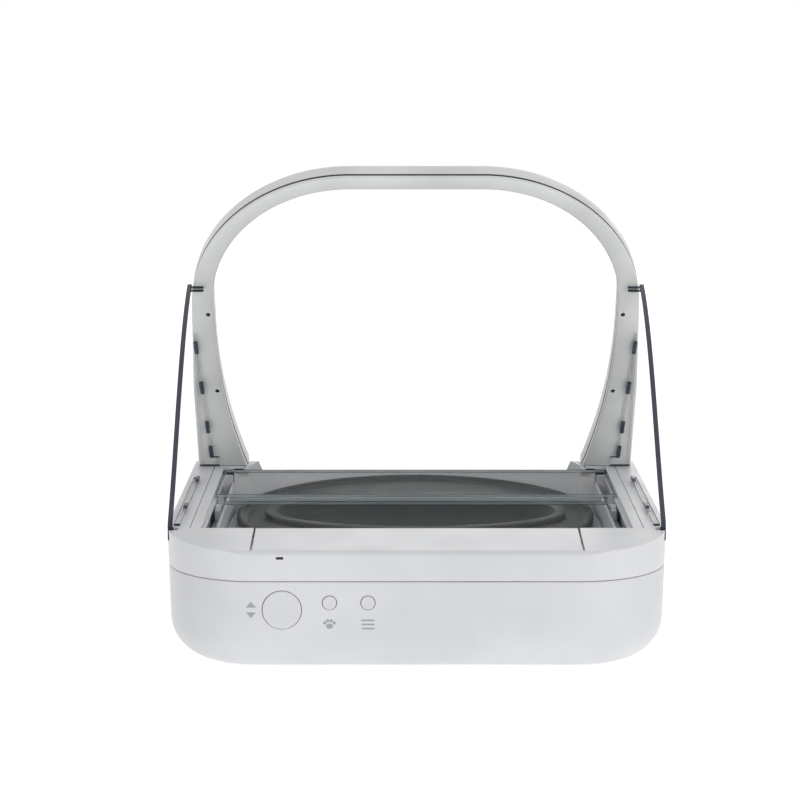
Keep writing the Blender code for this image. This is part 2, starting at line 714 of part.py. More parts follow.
def ledge_outline(side, grow):
    """The lowered ledge for a side panel's foot at a rear corner, in plan, from its inner edge out."""
    line = [(side * (BASE_WIDTH / 2 - inset - grow), REAR_Y + far)
            for inset, far in zip(PANEL_LEDGE_INSETS, PANEL_LEDGE_FROM_REAR)]
    line[0] = (line[0][0], line[0][1] + grow)
    line[-1] = (line[-1][0], line[-1][1] - grow)
    beyond = side * (BASE_WIDTH / 2 + CUT_OVERRUN)
    outline = line + [(beyond, line[-1][1]), (beyond, line[0][1])]
    return outline if side < 0 else list(reversed(outline))


def build_upper_casing(crown, crown_inner):
    low = FOOT_HEIGHT + BOTTOM_FILLET
    casing = loft("upper_casing", [base_ring(low, 0.0), base_ring(BLOCK_TOP_Z, 0.0)], "white_abs")
    reach = BASE_WIDTH / 2 + CUT_OVERRUN
    rear, front = REAR_Y - CUT_OVERRUN, FRONT_Y + CUT_OVERRUN
    line = [(rear, seam_z(rear)), (SEAM_BEND_Y, seam_z(SEAM_BEND_Y)), (front, seam_z(front))]
    below = [(front, 0), (rear, 0)] + [(y, z + GAP / 2) for y, z in line]
    seam_block = plate("seam_block", "X", [list(reversed(below))], -reach, reach, smooth=False)
    cut(casing, crown, seam_block)
    inside = loft("upper_inside", [base_ring(low - CUT_OVERRUN, WALL), base_ring(BLOCK_TOP_Z, WALL)])
    cut(inside, crown_inner)
    cut(casing, inside)
    high = BLOCK_TOP_Z + CUT_OVERRUN
    opening = box("lid_opening", (-LID_OPENING_HALF_WIDTH, DECK_FRONT_Y, low),
                  (LID_OPENING_HALF_WIDTH, LID_OPENING_FRONT_Y, high))
    bay = box("cover_opening", (-DECK_COVER_HALF_WIDTH - DECK_COVER_PLAY, REAR_Y + CREASE_ROUND, low),
              (DECK_COVER_HALF_WIDTH + DECK_COVER_PLAY, DECK_FRONT_Y + CUT_OVERRUN, high))
    mouth = plate("mat_opening", "Z", [front_oval(GAP)], low, high)
    half_width = LIGHT_WIDTH / 2 + GAP
    half_height = LIGHT_HEIGHT / 2 + GAP
    slot = box("light_slot", (LIGHT_X - half_width, REAR_Y - CUT_OVERRUN, LIGHT_Z - half_height),
               (LIGHT_X + half_width, REAR_Y + WALL + CUT_OVERRUN, LIGHT_Z + half_height))
    for side in (-1, 1):
        rim = plate("ledge_rim_%d" % side, "Z", [ledge_outline(side, PANEL_LEDGE_RIM)],
                    PANEL_LEDGE_Z - PANEL_LEDGE_FLOOR, high)
        change(rim, loft("ledge_bound", [base_ring(low, WALL / 2), base_ring(high, WALL / 2)]), "INTERSECT")
        cut(rim, crown_cutter("ledge_crown", TOP_WALL / 2))
        join(casing, rim)
        cut(casing, plate("ledge_%d" % side, "Z", [ledge_outline(side, 0.0)], PANEL_LEDGE_Z, high))
    cut(casing, opening, bay, mouth, slot)
    for place, (x, y) in enumerate(screw_places()):
        bottom = seam_z(y - SCREW_POST_RADIUS) + GAP
        top = crown_z(y) - TOP_WALL / 2
        post = rod("upper_post_%d" % place, "Z", (x, y, (bottom + top) / 2), SCREW_POST_RADIUS,
                   top - bottom, steps=SMALL_CIRCLE_STEPS)
        bore = rod("upper_bore_%d" % place, "Z", (x, y, bottom), SCREW_SHANK_RADIUS + GAP,
                   (SCREW_SHANK_LENGTH + GAP) * 2, steps=SMALL_CIRCLE_STEPS)
        join(casing, post)
        cut(casing, bore)
    return casing


def front_oval(grow):
    """The front half of the opening round the mat, closed across the middle."""
    half_width = MAT_HALF_WIDTH + TRAY_WALL_PLAY + TRAY_WALL + grow
    half_length = MAT_HALF_LENGTH + TRAY_WALL_PLAY + TRAY_WALL + grow
    half_count = MAT_STEPS // 2
    return [(half_width * math.cos(math.pi * step / half_count),
             MAT_CENTRE_Y + half_length * math.sin(math.pi * step / half_count))
            for step in range(half_count + 1)]


def build_deck_cover():
    """The middle of the rear deck: a sloping strip that closes the lid's stowing space."""
    rear = REAR_Y + CREASE_ROUND + GAP
    front = DECK_FRONT_Y - GAP
    outline = [(rear, crown_z(rear) - TOP_WALL), (front, crown_z(front) - TOP_WALL),
               (front, crown_z(front)), (rear, crown_z(rear))]
    return plate("rear_deck_cover", "X", [outline], -DECK_COVER_HALF_WIDTH, DECK_COVER_HALF_WIDTH,
                 "white_abs", smooth=False)


def arch_outer_line(inset):
    """The arch's outer edge on the right-hand side, from the root up to the middle of the top."""
    line = [(ARCH_FOOT_HALF_WIDTH - inset, -ARCH_ROOT), (ARCH_FOOT_HALF_WIDTH - inset, 0),
            (ARCH_BULGE_HALF_WIDTH - inset, ARCH_BULGE_HEIGHT)]
    reach = ARCH_SHOULDER_HALF_WIDTH - ARCH_TOP_FLAT_HALF - inset
    rise = ARCH_HEIGHT - ARCH_SHOULDER_HEIGHT - inset
    for step in range(ARCH_CORNER_STEPS + 1):
        angle = math.pi / 2 * step / ARCH_CORNER_STEPS
        line.append((ARCH_TOP_FLAT_HALF + reach * math.cos(angle),
                     ARCH_SHOULDER_HEIGHT + rise * math.sin(angle)))
    return line


def arch_inner_x(height, grow):
    flare_share = max(0.0, (ARCH_FLARE_HEIGHT - height) / ARCH_FLARE_HEIGHT)
    return ARCH_INNER_HALF_WIDTH - ARCH_FLARE * flare_share ** 2 + grow


def arch_inner_line(grow):
    """The arch's inner edge on the right-hand side, with its flared foot, from the root up."""
    line = [(arch_inner_x(0, grow), -ARCH_ROOT)]
    for step in range(ARCH_FLARE_STEPS + 1):
        height = ARCH_FLARE_HEIGHT * step / ARCH_FLARE_STEPS
        line.append((arch_inner_x(height, grow), height))
    reach = ARCH_INNER_HALF_WIDTH - ARCH_TOP_FLAT_HALF + grow
    rise = ARCH_HEIGHT - ARCH_TOP_BAND - ARCH_INNER_SHOULDER_HEIGHT + grow
    for step in range(ARCH_CORNER_STEPS + 1):
        angle = math.pi / 2 * step / ARCH_CORNER_STEPS
        line.append((ARCH_TOP_FLAT_HALF + reach * math.cos(angle),
                     ARCH_INNER_SHOULDER_HEIGHT + rise * math.sin(angle)))
    return line


def arch_band(inset):
    outer = arch_outer_line(inset)
    inner = arch_inner_line(inset)
    return outer + mirrored(outer) + [(-x, v) for x, v in inner] + list(reversed(inner))


def arch_point(across, along, depth):
    """A point of the leaning arch: across it, up along it from its foot, and behind its seam."""
    return (across,
            ARCH_FOOT_Y - along * math.sin(ARCH_LEAN) + depth * math.cos(ARCH_LEAN),
            DECK_Z + along * math.cos(ARCH_LEAN) + depth * math.sin(ARCH_LEAN))


def stand_on_arch(thing):
    """Leans a piece that was built upright round the arch's foot."""
    turn = Matrix.Rotation(ARCH_LEAN, 4, "X")
    shift = Matrix.Translation((0, ARCH_FOOT_Y, DECK_Z))
    thing.matrix_world = shift @ turn @ Matrix.Translation(thing.location)


def build_arch():
    foot_floor = box("arch_foot_floor", (-BASE_WIDTH, REAR_Y, 0), (BASE_WIDTH, FRONT_Y, DECK_Z + GAP))
    front = plate("arch_front_shell", "Y", [arch_band(0.0)], 0, ARCH_FRONT_DEPTH, "arch_abs")
    stand_on_arch(front)
    channel = plate("arch_channel", "Y", [arch_band(ARCH_SHELL_WALL)], -CUT_OVERRUN,
                    ARCH_FRONT_DEPTH - ARCH_SHELL_WALL)
    stand_on_arch(channel)
    cut(front, channel, foot_floor)
    rear = plate("arch_rear_shell", "Y", [arch_band(0.0)], -ARCH_REAR_DEPTH, -GAP, "arch_abs")
    stand_on_arch(rear)
    cut(rear, foot_floor)
    places = [(side, height) for side in (-1, 1) for height in SENSOR_HEIGHTS]
    for number, (side, height) in enumerate(places):
        across = side * arch_inner_x(height, SENSOR_FROM_INNER_EDGE)
        middle = (across, -ARCH_REAR_DEPTH / 2, height)
        hole = rod("sensor_hole_%d" % number, "Y", middle, SENSOR_RADIUS + GAP, ARCH_REAR_DEPTH * 2,
                   steps=SMALL_CIRCLE_STEPS)
        stand_on_arch(hole)
        cut(rear, hole)
        window = rod("sensor_window_%d" % number, "Y", (across, -(ARCH_REAR_DEPTH + GAP) / 2, height),
                     SENSOR_RADIUS, ARCH_REAR_DEPTH - GAP, "dark_window", steps=SMALL_CIRCLE_STEPS)
        stand_on_arch(window)
    outer = arch_outer_line(ARCH_TOP_BAND / 2)[1:]
    path = outer + mirrored(outer)
    points = [arch_point(x, max(v, COIL_RADIUS * 2), ARCH_FRONT_DEPTH / 2) for x, v in path]
    tube("antenna_coil", points, COIL_RADIUS, "enamelled_copper")


def panel_outline():
    """The side panel's outline in (y, z), seen from the right."""
    low_z = DECK_Z + GAP
    back = ARCH_REAR_DEPTH + GAP
    front_low = ARCH_FOOT_Y - back / math.cos(ARCH_LEAN) - GAP * math.tan(ARCH_LEAN)
    top = arch_point(0, PANEL_TOP_HEIGHT_ON_ARCH, -back)
    start = Vector((top[1], top[2]))
    end = Vector((PANEL_REAR_Y, low_z + PANEL_TOE))
    out = (end - start).orthogonal().normalized()
    if out.x > 0:
        out = -out
    points = [(front_low, low_z)]
    for step in range(PANEL_EDGE_STEPS + 1):
        share = step / PANEL_EDGE_STEPS
        swell = PANEL_EDGE_BULGE * PANEL_EDGE_BULGE_scale * share * (1 - share) ** 2
        spot = start.lerp(end, share) + out * swell
        points.append((spot.x, spot.y))
    points.append((PANEL_REAR_Y, PANEL_LEDGE_Z + GAP))
    points.append((PANEL_LEDGE_FRONT_Y - GAP, PANEL_LEDGE_Z + GAP))
    points.append((PANEL_LEDGE_FRONT_Y - GAP, low_z))
    return points


def flange_x(height):
    """How far out the flange's inner edge lies at a height on the arch, before the panel's taper."""
    return BASE_WIDTH / 2 - FLANGE_TIP_INSET + FLANGE_SPREAD_share * height


def handed(outline, side):
    """An outline drawn for the right-hand side, moved to its own side."""
    return outline if side > 0 else mirrored(outline)


def arch_plate(name, outline, side, low_depth, high_depth):
    """A flat piece of the panel that lies along the arch's rear face."""
    piece = plate(name, "Y", [handed(outline, side)], -high_depth, -low_depth)
    stand_on_arch(piece)
    return piece


def build_side_panel(label, side):
    """A clear panel with a foot in its ledge, and flanges and clips along the arch and the deck."""
    outer = PANEL_OUTER_HALF_WIDTH
    inner = outer - PANEL_THICKNESS
    root = inner + CLIP_ROOT
    panel = plate("side_panel_" + label, "X", [panel_outline()], min(side * inner, side * outer),
                  max(side * inner, side * outer), "clear_polycarbonate")
    back = ARCH_REAR_DEPTH + GAP + FLANGE_SET_BACK
    front = back + FLANGE_THICKNESS
    flange_top = (root - flange_x(0)) / FLANGE_SPREAD_share
    bar_top = FLANGE_LOW + FLANGE_BAR_HEIGHT
    bar_x = BASE_WIDTH / 2 - FLANGE_BAR_INSET
    outline = [(bar_x, FLANGE_LOW), (root, FLANGE_LOW), (root, flange_top), (flange_x(bar_top), bar_top),
               (bar_x, bar_top)]
    pieces = [arch_plate("flange_" + label, outline, side, back, front)]
    for number, height in enumerate(CLIP_HEIGHTS_ON_ARCH):
        low, high = height - CLIP_LENGTH / 2, height + CLIP_LENGTH / 2
        half = CLIP_WIDTH / 2
        outline = [(flange_x(low) - half, low), (flange_x(low) + half, low), (flange_x(high) + half, high),
                   (flange_x(high) - half, high)]
        pieces.append(arch_plate("clip_%s_%d" % (label, number), outline, side, front - FLANGE_SET_BACK * 2,
                                 front + CLIP_DEPTH))
    tab_top = PANEL_TOP_HEIGHT_ON_ARCH - TOP_TAB_HEIGHT / 2
    outline = [(root - TOP_TAB_REACH, tab_top - TOP_TAB_HEIGHT), (root, tab_top - TOP_TAB_HEIGHT),
               (root, tab_top), (root - TOP_TAB_REACH, tab_top)]
    pieces.append(arch_plate("top_tab_" + label, outline, side, back, front + CLIP_DEPTH))
    deck_low = DECK_Z + GAP + FLANGE_SET_BACK
    deck_x = BASE_WIDTH / 2 - DECK_FLANGE_INSET
    outline = [(deck_x, PANEL_LEDGE_FRONT_Y + GAP), (root, PANEL_LEDGE_FRONT_Y + GAP),
               (root, PANEL_FOOT_CLIP_YS[-1] + CLIP_LENGTH), (deck_x, PANEL_FOOT_CLIP_YS[-1] + CLIP_LENGTH)]
    pieces.append(plate("deck_flange_" + label, "Z", [handed(outline, side)], deck_low,
                        deck_low + FLANGE_THICKNESS))
    for number, y in enumerate(PANEL_FOOT_CLIP_YS):
        clip_x = deck_x - FLANGE_SET_BACK
        outline = [(clip_x, y - CLIP_LENGTH / 2), (clip_x + CLIP_WIDTH, y - CLIP_LENGTH / 2),
                   (clip_x + CLIP_WIDTH, y + CLIP_LENGTH / 2), (clip_x, y + CLIP_LENGTH / 2)]
        clip_low = deck_low + FLANGE_THICKNESS - FLANGE_SET_BACK * 2
        pieces.append(plate("foot_clip_%s_%d" % (label, number), "Z", [handed(outline, side)], clip_low,
                            clip_low + CLIP_DEPTH + FLANGE_SET_BACK * 2))
    foot_low = PANEL_LEDGE_Z + GAP + FLANGE_SET_BACK
    foot_rear = PANEL_REAR_Y + FLANGE_SET_BACK
    foot_front = PANEL_LEDGE_FRONT_Y - GAP - FLANGE_SET_BACK
    outline = [(outer - PANEL_FOOT_REACH, foot_rear), (outer - CLIP_ROOT, foot_rear),
               (outer - CLIP_ROOT, foot_front), (outer - PANEL_FOOT_REACH, foot_front)]
    pieces.append(plate("panel_foot_" + label, "Z", [handed(outline, side)], foot_low,
                        foot_low + PANEL_FOOT_THICKNESS))
    join(panel, *pieces)
    rise = arch_point(0, PANEL_TOP_HEIGHT_ON_ARCH, 0)[2] - DECK_Z
    for vertex in panel.data.vertices:
        vertex.co.x -= side * PANEL_TAPER * (vertex.co.z - DECK_Z) / rise
    return panel


def build_rail(label, side):
    """A lid rail: a channel for the belt, with the flange that shows beside the lid."""
    web_out = RAIL_WEB_X + RAIL_WEB_THICKNESS
    flange_low = DECK_Z - RAIL_FLANGE_THICKNESS
    ledge_top = FRONT_LEAF_BOTTOM_Z - GAP
    ledge_x = RAIL_WEB_X - RAIL_LEDGE_REACH
    inner_out = RAIL_INNER_WALL_X + RAIL_INNER_WALL_THICKNESS
    floor_top = RAIL_FLOOR_Z + RAIL_FLOOR_THICKNESS
    outline = [(RAIL_INNER_WALL_X, RAIL_FLOOR_Z), (web_out, RAIL_FLOOR_Z), (web_out, flange_low),
               (LID_OPENING_HALF_WIDTH - GAP, flange_low), (LID_OPENING_HALF_WIDTH - GAP, DECK_Z),
               (RAIL_FLANGE_INNER_X, DECK_Z), (RAIL_FLANGE_INNER_X, DECK_Z - RAIL_FLANGE_LIP),
               (RAIL_WEB_X, DECK_Z - RAIL_FLANGE_LIP),
               (RAIL_WEB_X, ledge_top), (ledge_x, ledge_top), (ledge_x, ledge_top - RAIL_LEDGE_THICKNESS),
               (RAIL_WEB_X, ledge_top - RAIL_LEDGE_THICKNESS), (RAIL_WEB_X, floor_top),
               (inner_out, floor_top), (inner_out, RAIL_INNER_WALL_TOP_Z),
               (RAIL_INNER_WALL_X, RAIL_INNER_WALL_TOP_Z)]
    if side < 0:
        outline = mirrored(outline)
    rail = plate("lid_rail_" + label, "Y", [outline], RAIL_REAR_Y, LID_OPENING_FRONT_Y - GAP, "white_abs",
                 smooth=False)
    reach = LID_OPENING_HALF_WIDTH + CUT_OVERRUN
    rear_top = box("rail_rear_top_" + label, (-reach, RAIL_REAR_Y - CUT_OVERRUN, RAIL_REAR_TOP_Z),
                   (reach, DECK_FRONT_Y + GAP, BLOCK_TOP_Z))
    hole = rod("rail_shaft_hole_" + label, "X", (side * RAIL_INNER_WALL_X, SHAFT_Y, SHAFT_Z),
               SHAFT_RADIUS + GAP, RAIL_INNER_WALL_THICKNESS * 4)
    cut(rail, rear_top, hole)
    pin_end = RAIL_INNER_WALL_X + RAIL_INNER_WALL_THICKNESS / 2
    web_middle = RAIL_WEB_X + RAIL_WEB_THICKNESS / 2
    pin = rod("idler_pin_" + label, "X", (side * (pin_end + web_middle) / 2, IDLER_Y, SHAFT_Z),
              IDLER_PIN_RADIUS, web_middle - pin_end, steps=SMALL_CIRCLE_STEPS)
    rail_front = LID_OPENING_FRONT_Y - GAP
    end_wall = box("rail_end_" + label,
                   (min(side * pin_end, side * web_middle), rail_front - RAIL_END_THICKNESS, RAIL_FLOOR_Z + GAP),
                   (max(side * pin_end, side * web_middle), rail_front, ledge_top - RAIL_LEDGE_THICKNESS / 2))
    join(rail, pin, end_wall)
    return rail


def build_front_leaf():
    outline = rounded_rectangle((-RAIL_FLANGE_INNER_X + GAP, FRONT_LEAF_REAR_Y),
                                (RAIL_FLANGE_INNER_X - GAP, FRONT_LEAF_FRONT_Y), LEAF_CORNER,
                                LEAF_CORNER_STEPS)
    leaf = plate("lid_front_leaf", "Z", [outline], FRONT_LEAF_BOTTOM_Z, FRONT_LEAF_TOP_Z,
                 "clear_polycarbonate")
    for label, y in (("rear", FRONT_LEAF_REAR_Y), ("front", FRONT_LEAF_FRONT_Y - LEAF_LIP_THICKNESS)):
        lip = box("front_leaf_lip_" + label,
                  (-LEAF_LIP_HALF_WIDTH, y, FRONT_LEAF_BOTTOM_Z - LEAF_LIP_DROP),
                  (LEAF_LIP_HALF_WIDTH, y + LEAF_LIP_THICKNESS, FRONT_LEAF_TOP_Z - LEAF_THICKNESS / 4))
        join(leaf, lip)
    return leaf


def build_rear_leaf():
    low = (-REAR_LEAF_HALF_WIDTH, REAR_LEAF_REAR_Y)
    high = (REAR_LEAF_HALF_WIDTH, REAR_LEAF_FRONT_Y)
    outline = rounded_rectangle(low, high, REAR_LEAF_CORNER, REAR_LEAF_CORNER_STEPS)
    leaf = plate("lid_rear_leaf", "Z", [outline], REAR_LEAF_BOTTOM_Z, REAR_LEAF_TOP_Z,
                 "clear_polycarbonate")
    square = box("rear_leaf_front_corners",
                 (-REAR_LEAF_HALF_WIDTH, REAR_LEAF_FRONT_Y - REAR_LEAF_CORNER * 2, REAR_LEAF_BOTTOM_Z),
                 (REAR_LEAF_HALF_WIDTH, REAR_LEAF_FRONT_Y, REAR_LEAF_TOP_Z))
    lip = box("rear_leaf_lip", (-LEAF_LIP_HALF_WIDTH, REAR_LEAF_FRONT_Y - LEAF_LIP_THICKNESS,
                                REAR_LEAF_TOP_Z - LEAF_THICKNESS / 2),
              (LEAF_LIP_HALF_WIDTH, REAR_LEAF_FRONT_Y, FRONT_LEAF_BOTTOM_Z - GAP))
    join(leaf, square, lip)
    return leaf


def build_runner(label, side):
    inner = side * RUNNER_INNER_X
    outer = side * (RUNNER_INNER_X + RUNNER_WIDTH)
    low_x, high_x = min(inner, outer), max(inner, outer)
    low_z = SHAFT_Z + BELT_OUTER_RADIUS + GAP
    runner = box("lid_runner_" + label, (low_x, RUNNER_REAR_Y, low_z),
                 (high_x, RUNNER_FRONT_Y, RUNNER_TOP_Z), "acetal")
    post = box("runner_post_" + label, (low_x, FRONT_LEAF_REAR_Y + GAP, low_z + CUT_OVERRUN),
               (high_x, RUNNER_FRONT_Y, FRONT_LEAF_BOTTOM_Z - GAP))
    boss_middle = ((low_x + high_x) / 2, RUNNER_REAR_Y + RUNNER_BOSS_FROM_REAR,
                   RUNNER_TOP_Z - RUNNER_BOSS_RADIUS / 4)
    boss = rod("runner_boss_" + label, "X", boss_middle, RUNNER_BOSS_RADIUS, RUNNER_WIDTH,
               steps=SMALL_CIRCLE_STEPS)
    join(runner, post, boss)
    return runner


def belt_line(radius, toothed):
    """A belt's edge in (y, z) round both pulleys; the inner edge carries the teeth."""
    tooth = BELT_TOOTH_HEIGHT if toothed else 0.0
    line = []
    run = IDLER_Y - SHAFT_Y
    count = int(run / BELT_TOOTH_PITCH)
    for front, sign in ((True, -1), (False, 1)):
        centre = IDLER_Y if front else SHAFT_Y
        for step in range(BELT_END_STEPS + 1):
            angle = math.pi * step / BELT_END_STEPS + (-math.pi / 2 if front else math.pi / 2)
            line.append((centre + radius * math.cos(angle), SHAFT_Z + radius * math.sin(angle)))
        if toothed:
            pitch = run / count
            start = IDLER_Y if front else SHAFT_Y
            level = SHAFT_Z - sign * radius
            for number in range(count):
                first = start + sign * pitch * (number + TOOTH_START_share)
                second = start + sign * pitch * (number + TOOTH_END_share)
                line.append((first, level))
                line.append((first, level + sign * tooth))
                line.append((second, level + sign * tooth))
                line.append((second, level))
    return line


def build_belt(label, side):
    inner = side * BELT_INNER_X
    outer = side * (BELT_INNER_X + BELT_WIDTH)
    lines = [belt_line(BELT_OUTER_RADIUS, False), belt_line(BELT_OUTER_RADIUS - BELT_THICKNESS, True)]
    return plate("drive_belt_" + label, "X", lines, min(inner, outer), max(inner, outer), "belt_rubber",
                 smooth=False)


def fluted_wheel(name, middle, bore_radius):
    """A small belt wheel with shallow flutes, bored for its shaft or pin."""
    count = PULLEY_FLUTES * 4
    rim = []
    for step in range(count):
        radius = PULLEY_RADIUS - (PULLEY_FLUTE_DEPTH if step % 4 in (2, 3) else 0.0)
        angle = math.tau * step / count
        rim.append((middle[1] + radius * math.cos(angle), middle[2] + radius * math.sin(angle)))
    bore = [(middle[1] + bore_radius * math.cos(math.tau * step / SMALL_CIRCLE_STEPS),
             middle[2] + bore_radius * math.sin(math.tau * step / SMALL_CIRCLE_STEPS))
            for step in range(SMALL_CIRCLE_STEPS)]
    half = BELT_WIDTH / 2 - GAP
    return plate(name, "X", [rim, bore], middle[0] - half, middle[0] + half, "acetal", smooth=False)


def build_drive():
    for label, side in (("left", -1), ("right", 1)):
        middle_x = side * (BELT_INNER_X + BELT_WIDTH / 2)
        build_belt(label, side)
        pulley = fluted_wheel("drive_pulley_" + label, (middle_x, SHAFT_Y, SHAFT_Z), SHAFT_RADIUS + GAP)
        move_origin(pulley, (middle_x, SHAFT_Y, SHAFT_Z))
        idler = fluted_wheel("idler_pulley_" + label, (middle_x, IDLER_Y, SHAFT_Z), IDLER_PIN_RADIUS + GAP)
        move_origin(idler, (middle_x, IDLER_Y, SHAFT_Z))
    rod("drive_shaft", "X", (0, SHAFT_Y, SHAFT_Z), SHAFT_RADIUS, (RAIL_WEB_X - GAP) * 2, "steel",
        steps=SMALL_CIRCLE_STEPS)
    front = SHAFT_Y + GEARBOX_FRONT_OF_SHAFT
    low = (GEARBOX_X - GEARBOX_WIDTH / 2, front - GEARBOX_DEPTH, GEARBOX_BOTTOM_Z)
    high = (GEARBOX_X + GEARBOX_WIDTH / 2, front, GEARBOX_TOP_Z)
    gearbox = box("gearbox", low, high, "gearbox_nylon")
    bore = rod("gearbox_bore", "X", (GEARBOX_X, SHAFT_Y, SHAFT_Z), SHAFT_RADIUS + GAP,
               GEARBOX_WIDTH + CUT_OVERRUN, steps=SMALL_CIRCLE_STEPS)
    cut(gearbox, bore)
    rod("lid_motor", "Y", (GEARBOX_X, front + GAP + MOTOR_LENGTH / 2, MOTOR_Z), MOTOR_RADIUS,
        MOTOR_LENGTH, "steel")


def tilted(z, y):
    """The mat and its tray slope gently down towards the animal."""
    return z - MAT_TILT_share * (y - MAT_CENTRE_Y)


def oval_ring(half_width, half_length, centre_y, z, tilt=True):
    return [(x, y, tilted(z, y) if tilt else z) for x, y in oval(half_width, half_length, centre_y)]


def mat_ring(inset, z):
    return oval_ring(MAT_HALF_WIDTH - inset, MAT_HALF_LENGTH - inset, MAT_CENTRE_Y, z)


def bowl_ring(grow, z, tilt=False):
    return oval_ring(BOWL_HALF_WIDTH - BOWL_RIM_WIDTH + grow, BOWL_HALF_LENGTH - BOWL_RIM_WIDTH + grow,
                     BOWL_CENTRE_Y, z, tilt)


def dish_wall(thickness, low_z, high_z, grow):
    """Rings of a dish wall from the floor up: a rounded floor edge, then the sloping side."""
    rings = []
    for step in range(ROUND_STEPS + 1):
        angle = math.pi / 2 * step / ROUND_STEPS
        inset = BOWL_WALL_SLOPE + BOWL_FLOOR_ROUND * (1 - math.sin(angle))
        rings.append(bowl_ring(grow - inset, low_z + BOWL_FLOOR_ROUND * (1 - math.cos(angle))))
    rings.append(bowl_ring(grow, high_z))
    return rings


def build_bowl():
    """A shallow oval dish with a flat rim that rests on the mat."""
    under_rim_z = BOWL_RIM_Z - BOWL_THICKNESS
    rings = dish_wall(BOWL_THICKNESS, BOWL_FLOOR_Z, under_rim_z, 0.0)
    rings.append(bowl_ring(BOWL_RIM_WIDTH, under_rim_z))
    rings.append(bowl_ring(BOWL_RIM_WIDTH, BOWL_RIM_Z))
    inner = dish_wall(BOWL_THICKNESS, BOWL_FLOOR_Z + BOWL_THICKNESS, BOWL_RIM_Z, -BOWL_THICKNESS)
    rings.extend(reversed(inner))
    return loft("bowl", rings, "bowl_plastic")


def build_mat():
    """The oval mat: a raised rim, a sloping floor, and the deep pocket that the bowl drops into."""
    floor_z = MAT_RIM_Z - MAT_RIM_HEIGHT
    play = POCKET_PLAY
    rings = dish_wall(MAT_THICKNESS, POCKET_BOTTOM_Z, MAT_UNDERSIDE_Z - MAT_THICKNESS, play + MAT_THICKNESS)
    rings.append(bowl_ring(play + MAT_THICKNESS, MAT_UNDERSIDE_Z, tilt=True))
    rings.append(mat_ring(MAT_RIM_WIDTH / 2, MAT_UNDERSIDE_Z))
    rings.append(mat_ring(0.0, MAT_UNDERSIDE_Z + MAT_THICKNESS))
    rings.append(mat_ring(0.0, MAT_RIM_Z - MAT_THICKNESS / 4))
    rings.append(mat_ring(MAT_RIM_WIDTH / 4, MAT_RIM_Z))
    rings.append(mat_ring(MAT_RIM_WIDTH, MAT_RIM_Z - MAT_THICKNESS / 4))
    rings.append(mat_ring(MAT_RIM_WIDTH + MAT_THICKNESS, floor_z))
    rings.append(bowl_ring(play, floor_z, tilt=True))
    inner = dish_wall(MAT_THICKNESS, POCKET_BOTTOM_Z + MAT_THICKNESS, floor_z - MAT_THICKNESS, play)
    rings.extend(reversed(inner))
    return loft("bowl_mat", rings, "mat_rubber")


def build_tray(crown):
    """The tray round the mat: a sloping plate with the pocket's hole, and a wall round its front."""
    half = RAIL_INNER_WALL_X - GAP
    rear = DECK_FRONT_Y + GAP
    curve = [(min(x, half) if x > 0 else max(x, -half), y) for x, y in front_oval(0.0)]
    outline = [(-half, rear), (half, rear)] + curve
    room = POCKET_PLAY + MAT_THICKNESS + TRAY_WALL_PLAY - BOWL_RIM_WIDTH
    hole = oval(BOWL_HALF_WIDTH + room, BOWL_HALF_LENGTH + room, BOWL_CENTRE_Y)
    top = MAT_UNDERSIDE_Z - GAP
    tray = plate("inner_tray", "Z", [outline, hole], top - TRAY_THICKNESS, top, "tray_abs", smooth=False)
    for vertex in tray.data.vertices:
        vertex.co.z = tilted(vertex.co.z, vertex.co.y)
    wall = plate("tray_wall", "Z", [front_oval(0.0), front_oval(-TRAY_WALL)], TRAY_WALL_BOTTOM_Z,
                 BLOCK_TOP_Z, smooth=False)
    behind = box("tray_wall_rear_limit", (-BASE_WIDTH, REAR_Y, 0),
                 (BASE_WIDTH, LID_OPENING_FRONT_Y + GAP, BLOCK_TOP_Z + CUT_OVERRUN))
    cut(wall, behind, crown)
    join(tray, wall)
    return tray


def build_scale():
    ring = oval(PLATFORM_HALF_WIDTH, PLATFORM_HALF_LENGTH, BOWL_CENTRE_Y, CIRCLE_STEPS)
    plate("weigh_platform", "Z", [ring], PLATFORM_TOP_Z - PLATFORM_THICKNESS, PLATFORM_TOP_Z, "acetal")
    half_length = LOAD_CELL_LENGTH / 2
    half_width = LOAD_CELL_WIDTH / 2
    cell = box("load_cell", (-half_length, BOWL_CENTRE_Y - half_width, LOAD_CELL_BOTTOM_Z),
               (half_length, BOWL_CENTRE_Y + half_width, LOAD_CELL_TOP_Z), "load_cell_aluminium")
    middle_z = (LOAD_CELL_BOTTOM_Z + LOAD_CELL_TOP_Z) / 2
    for number, side in enumerate((-1, 1)):
        hole = rod("load_cell_hole_%d" % number, "Y",
                   (side * LOAD_CELL_HOLE_SPACING / 2, BOWL_CENTRE_Y, middle_z), LOAD_CELL_HOLE_RADIUS,
                   LOAD_CELL_WIDTH + CUT_OVERRUN, steps=SMALL_CIRCLE_STEPS)
        cut(cell, hole)


def build_button(name, place, radius, rest_stem_y):
    """A push button: a cap through the wall, a flange behind it, and a stem to its switch."""
    x, z = place
    outer = wall_outer_y(z) - BUTTON_PROUD
    flange_front = wall_outer_y(z - radius) + WALL + GAP
    flange_end = flange_front + BUTTON_FLANGE_THICKNESS
    profile = [(0, outer), (radius - BUTTON_EDGE_ROUND, outer), (radius, outer + BUTTON_EDGE_ROUND),
               (radius, flange_front), (radius + BUTTON_FLANGE, flange_front),
               (radius + BUTTON_FLANGE, flange_end), (BUTTON_STEM_RADIUS, flange_end),
               (BUTTON_STEM_RADIUS, rest_stem_y), (0, rest_stem_y)]
    heights = [(spot_radius, outer - y) for spot_radius, y in profile]
    turned_button = turned(name, "Y", (x, outer, z), heights, "white_button")
    turned_button.rotation_euler = (math.pi / 2, 0, 0)
    return turned_button


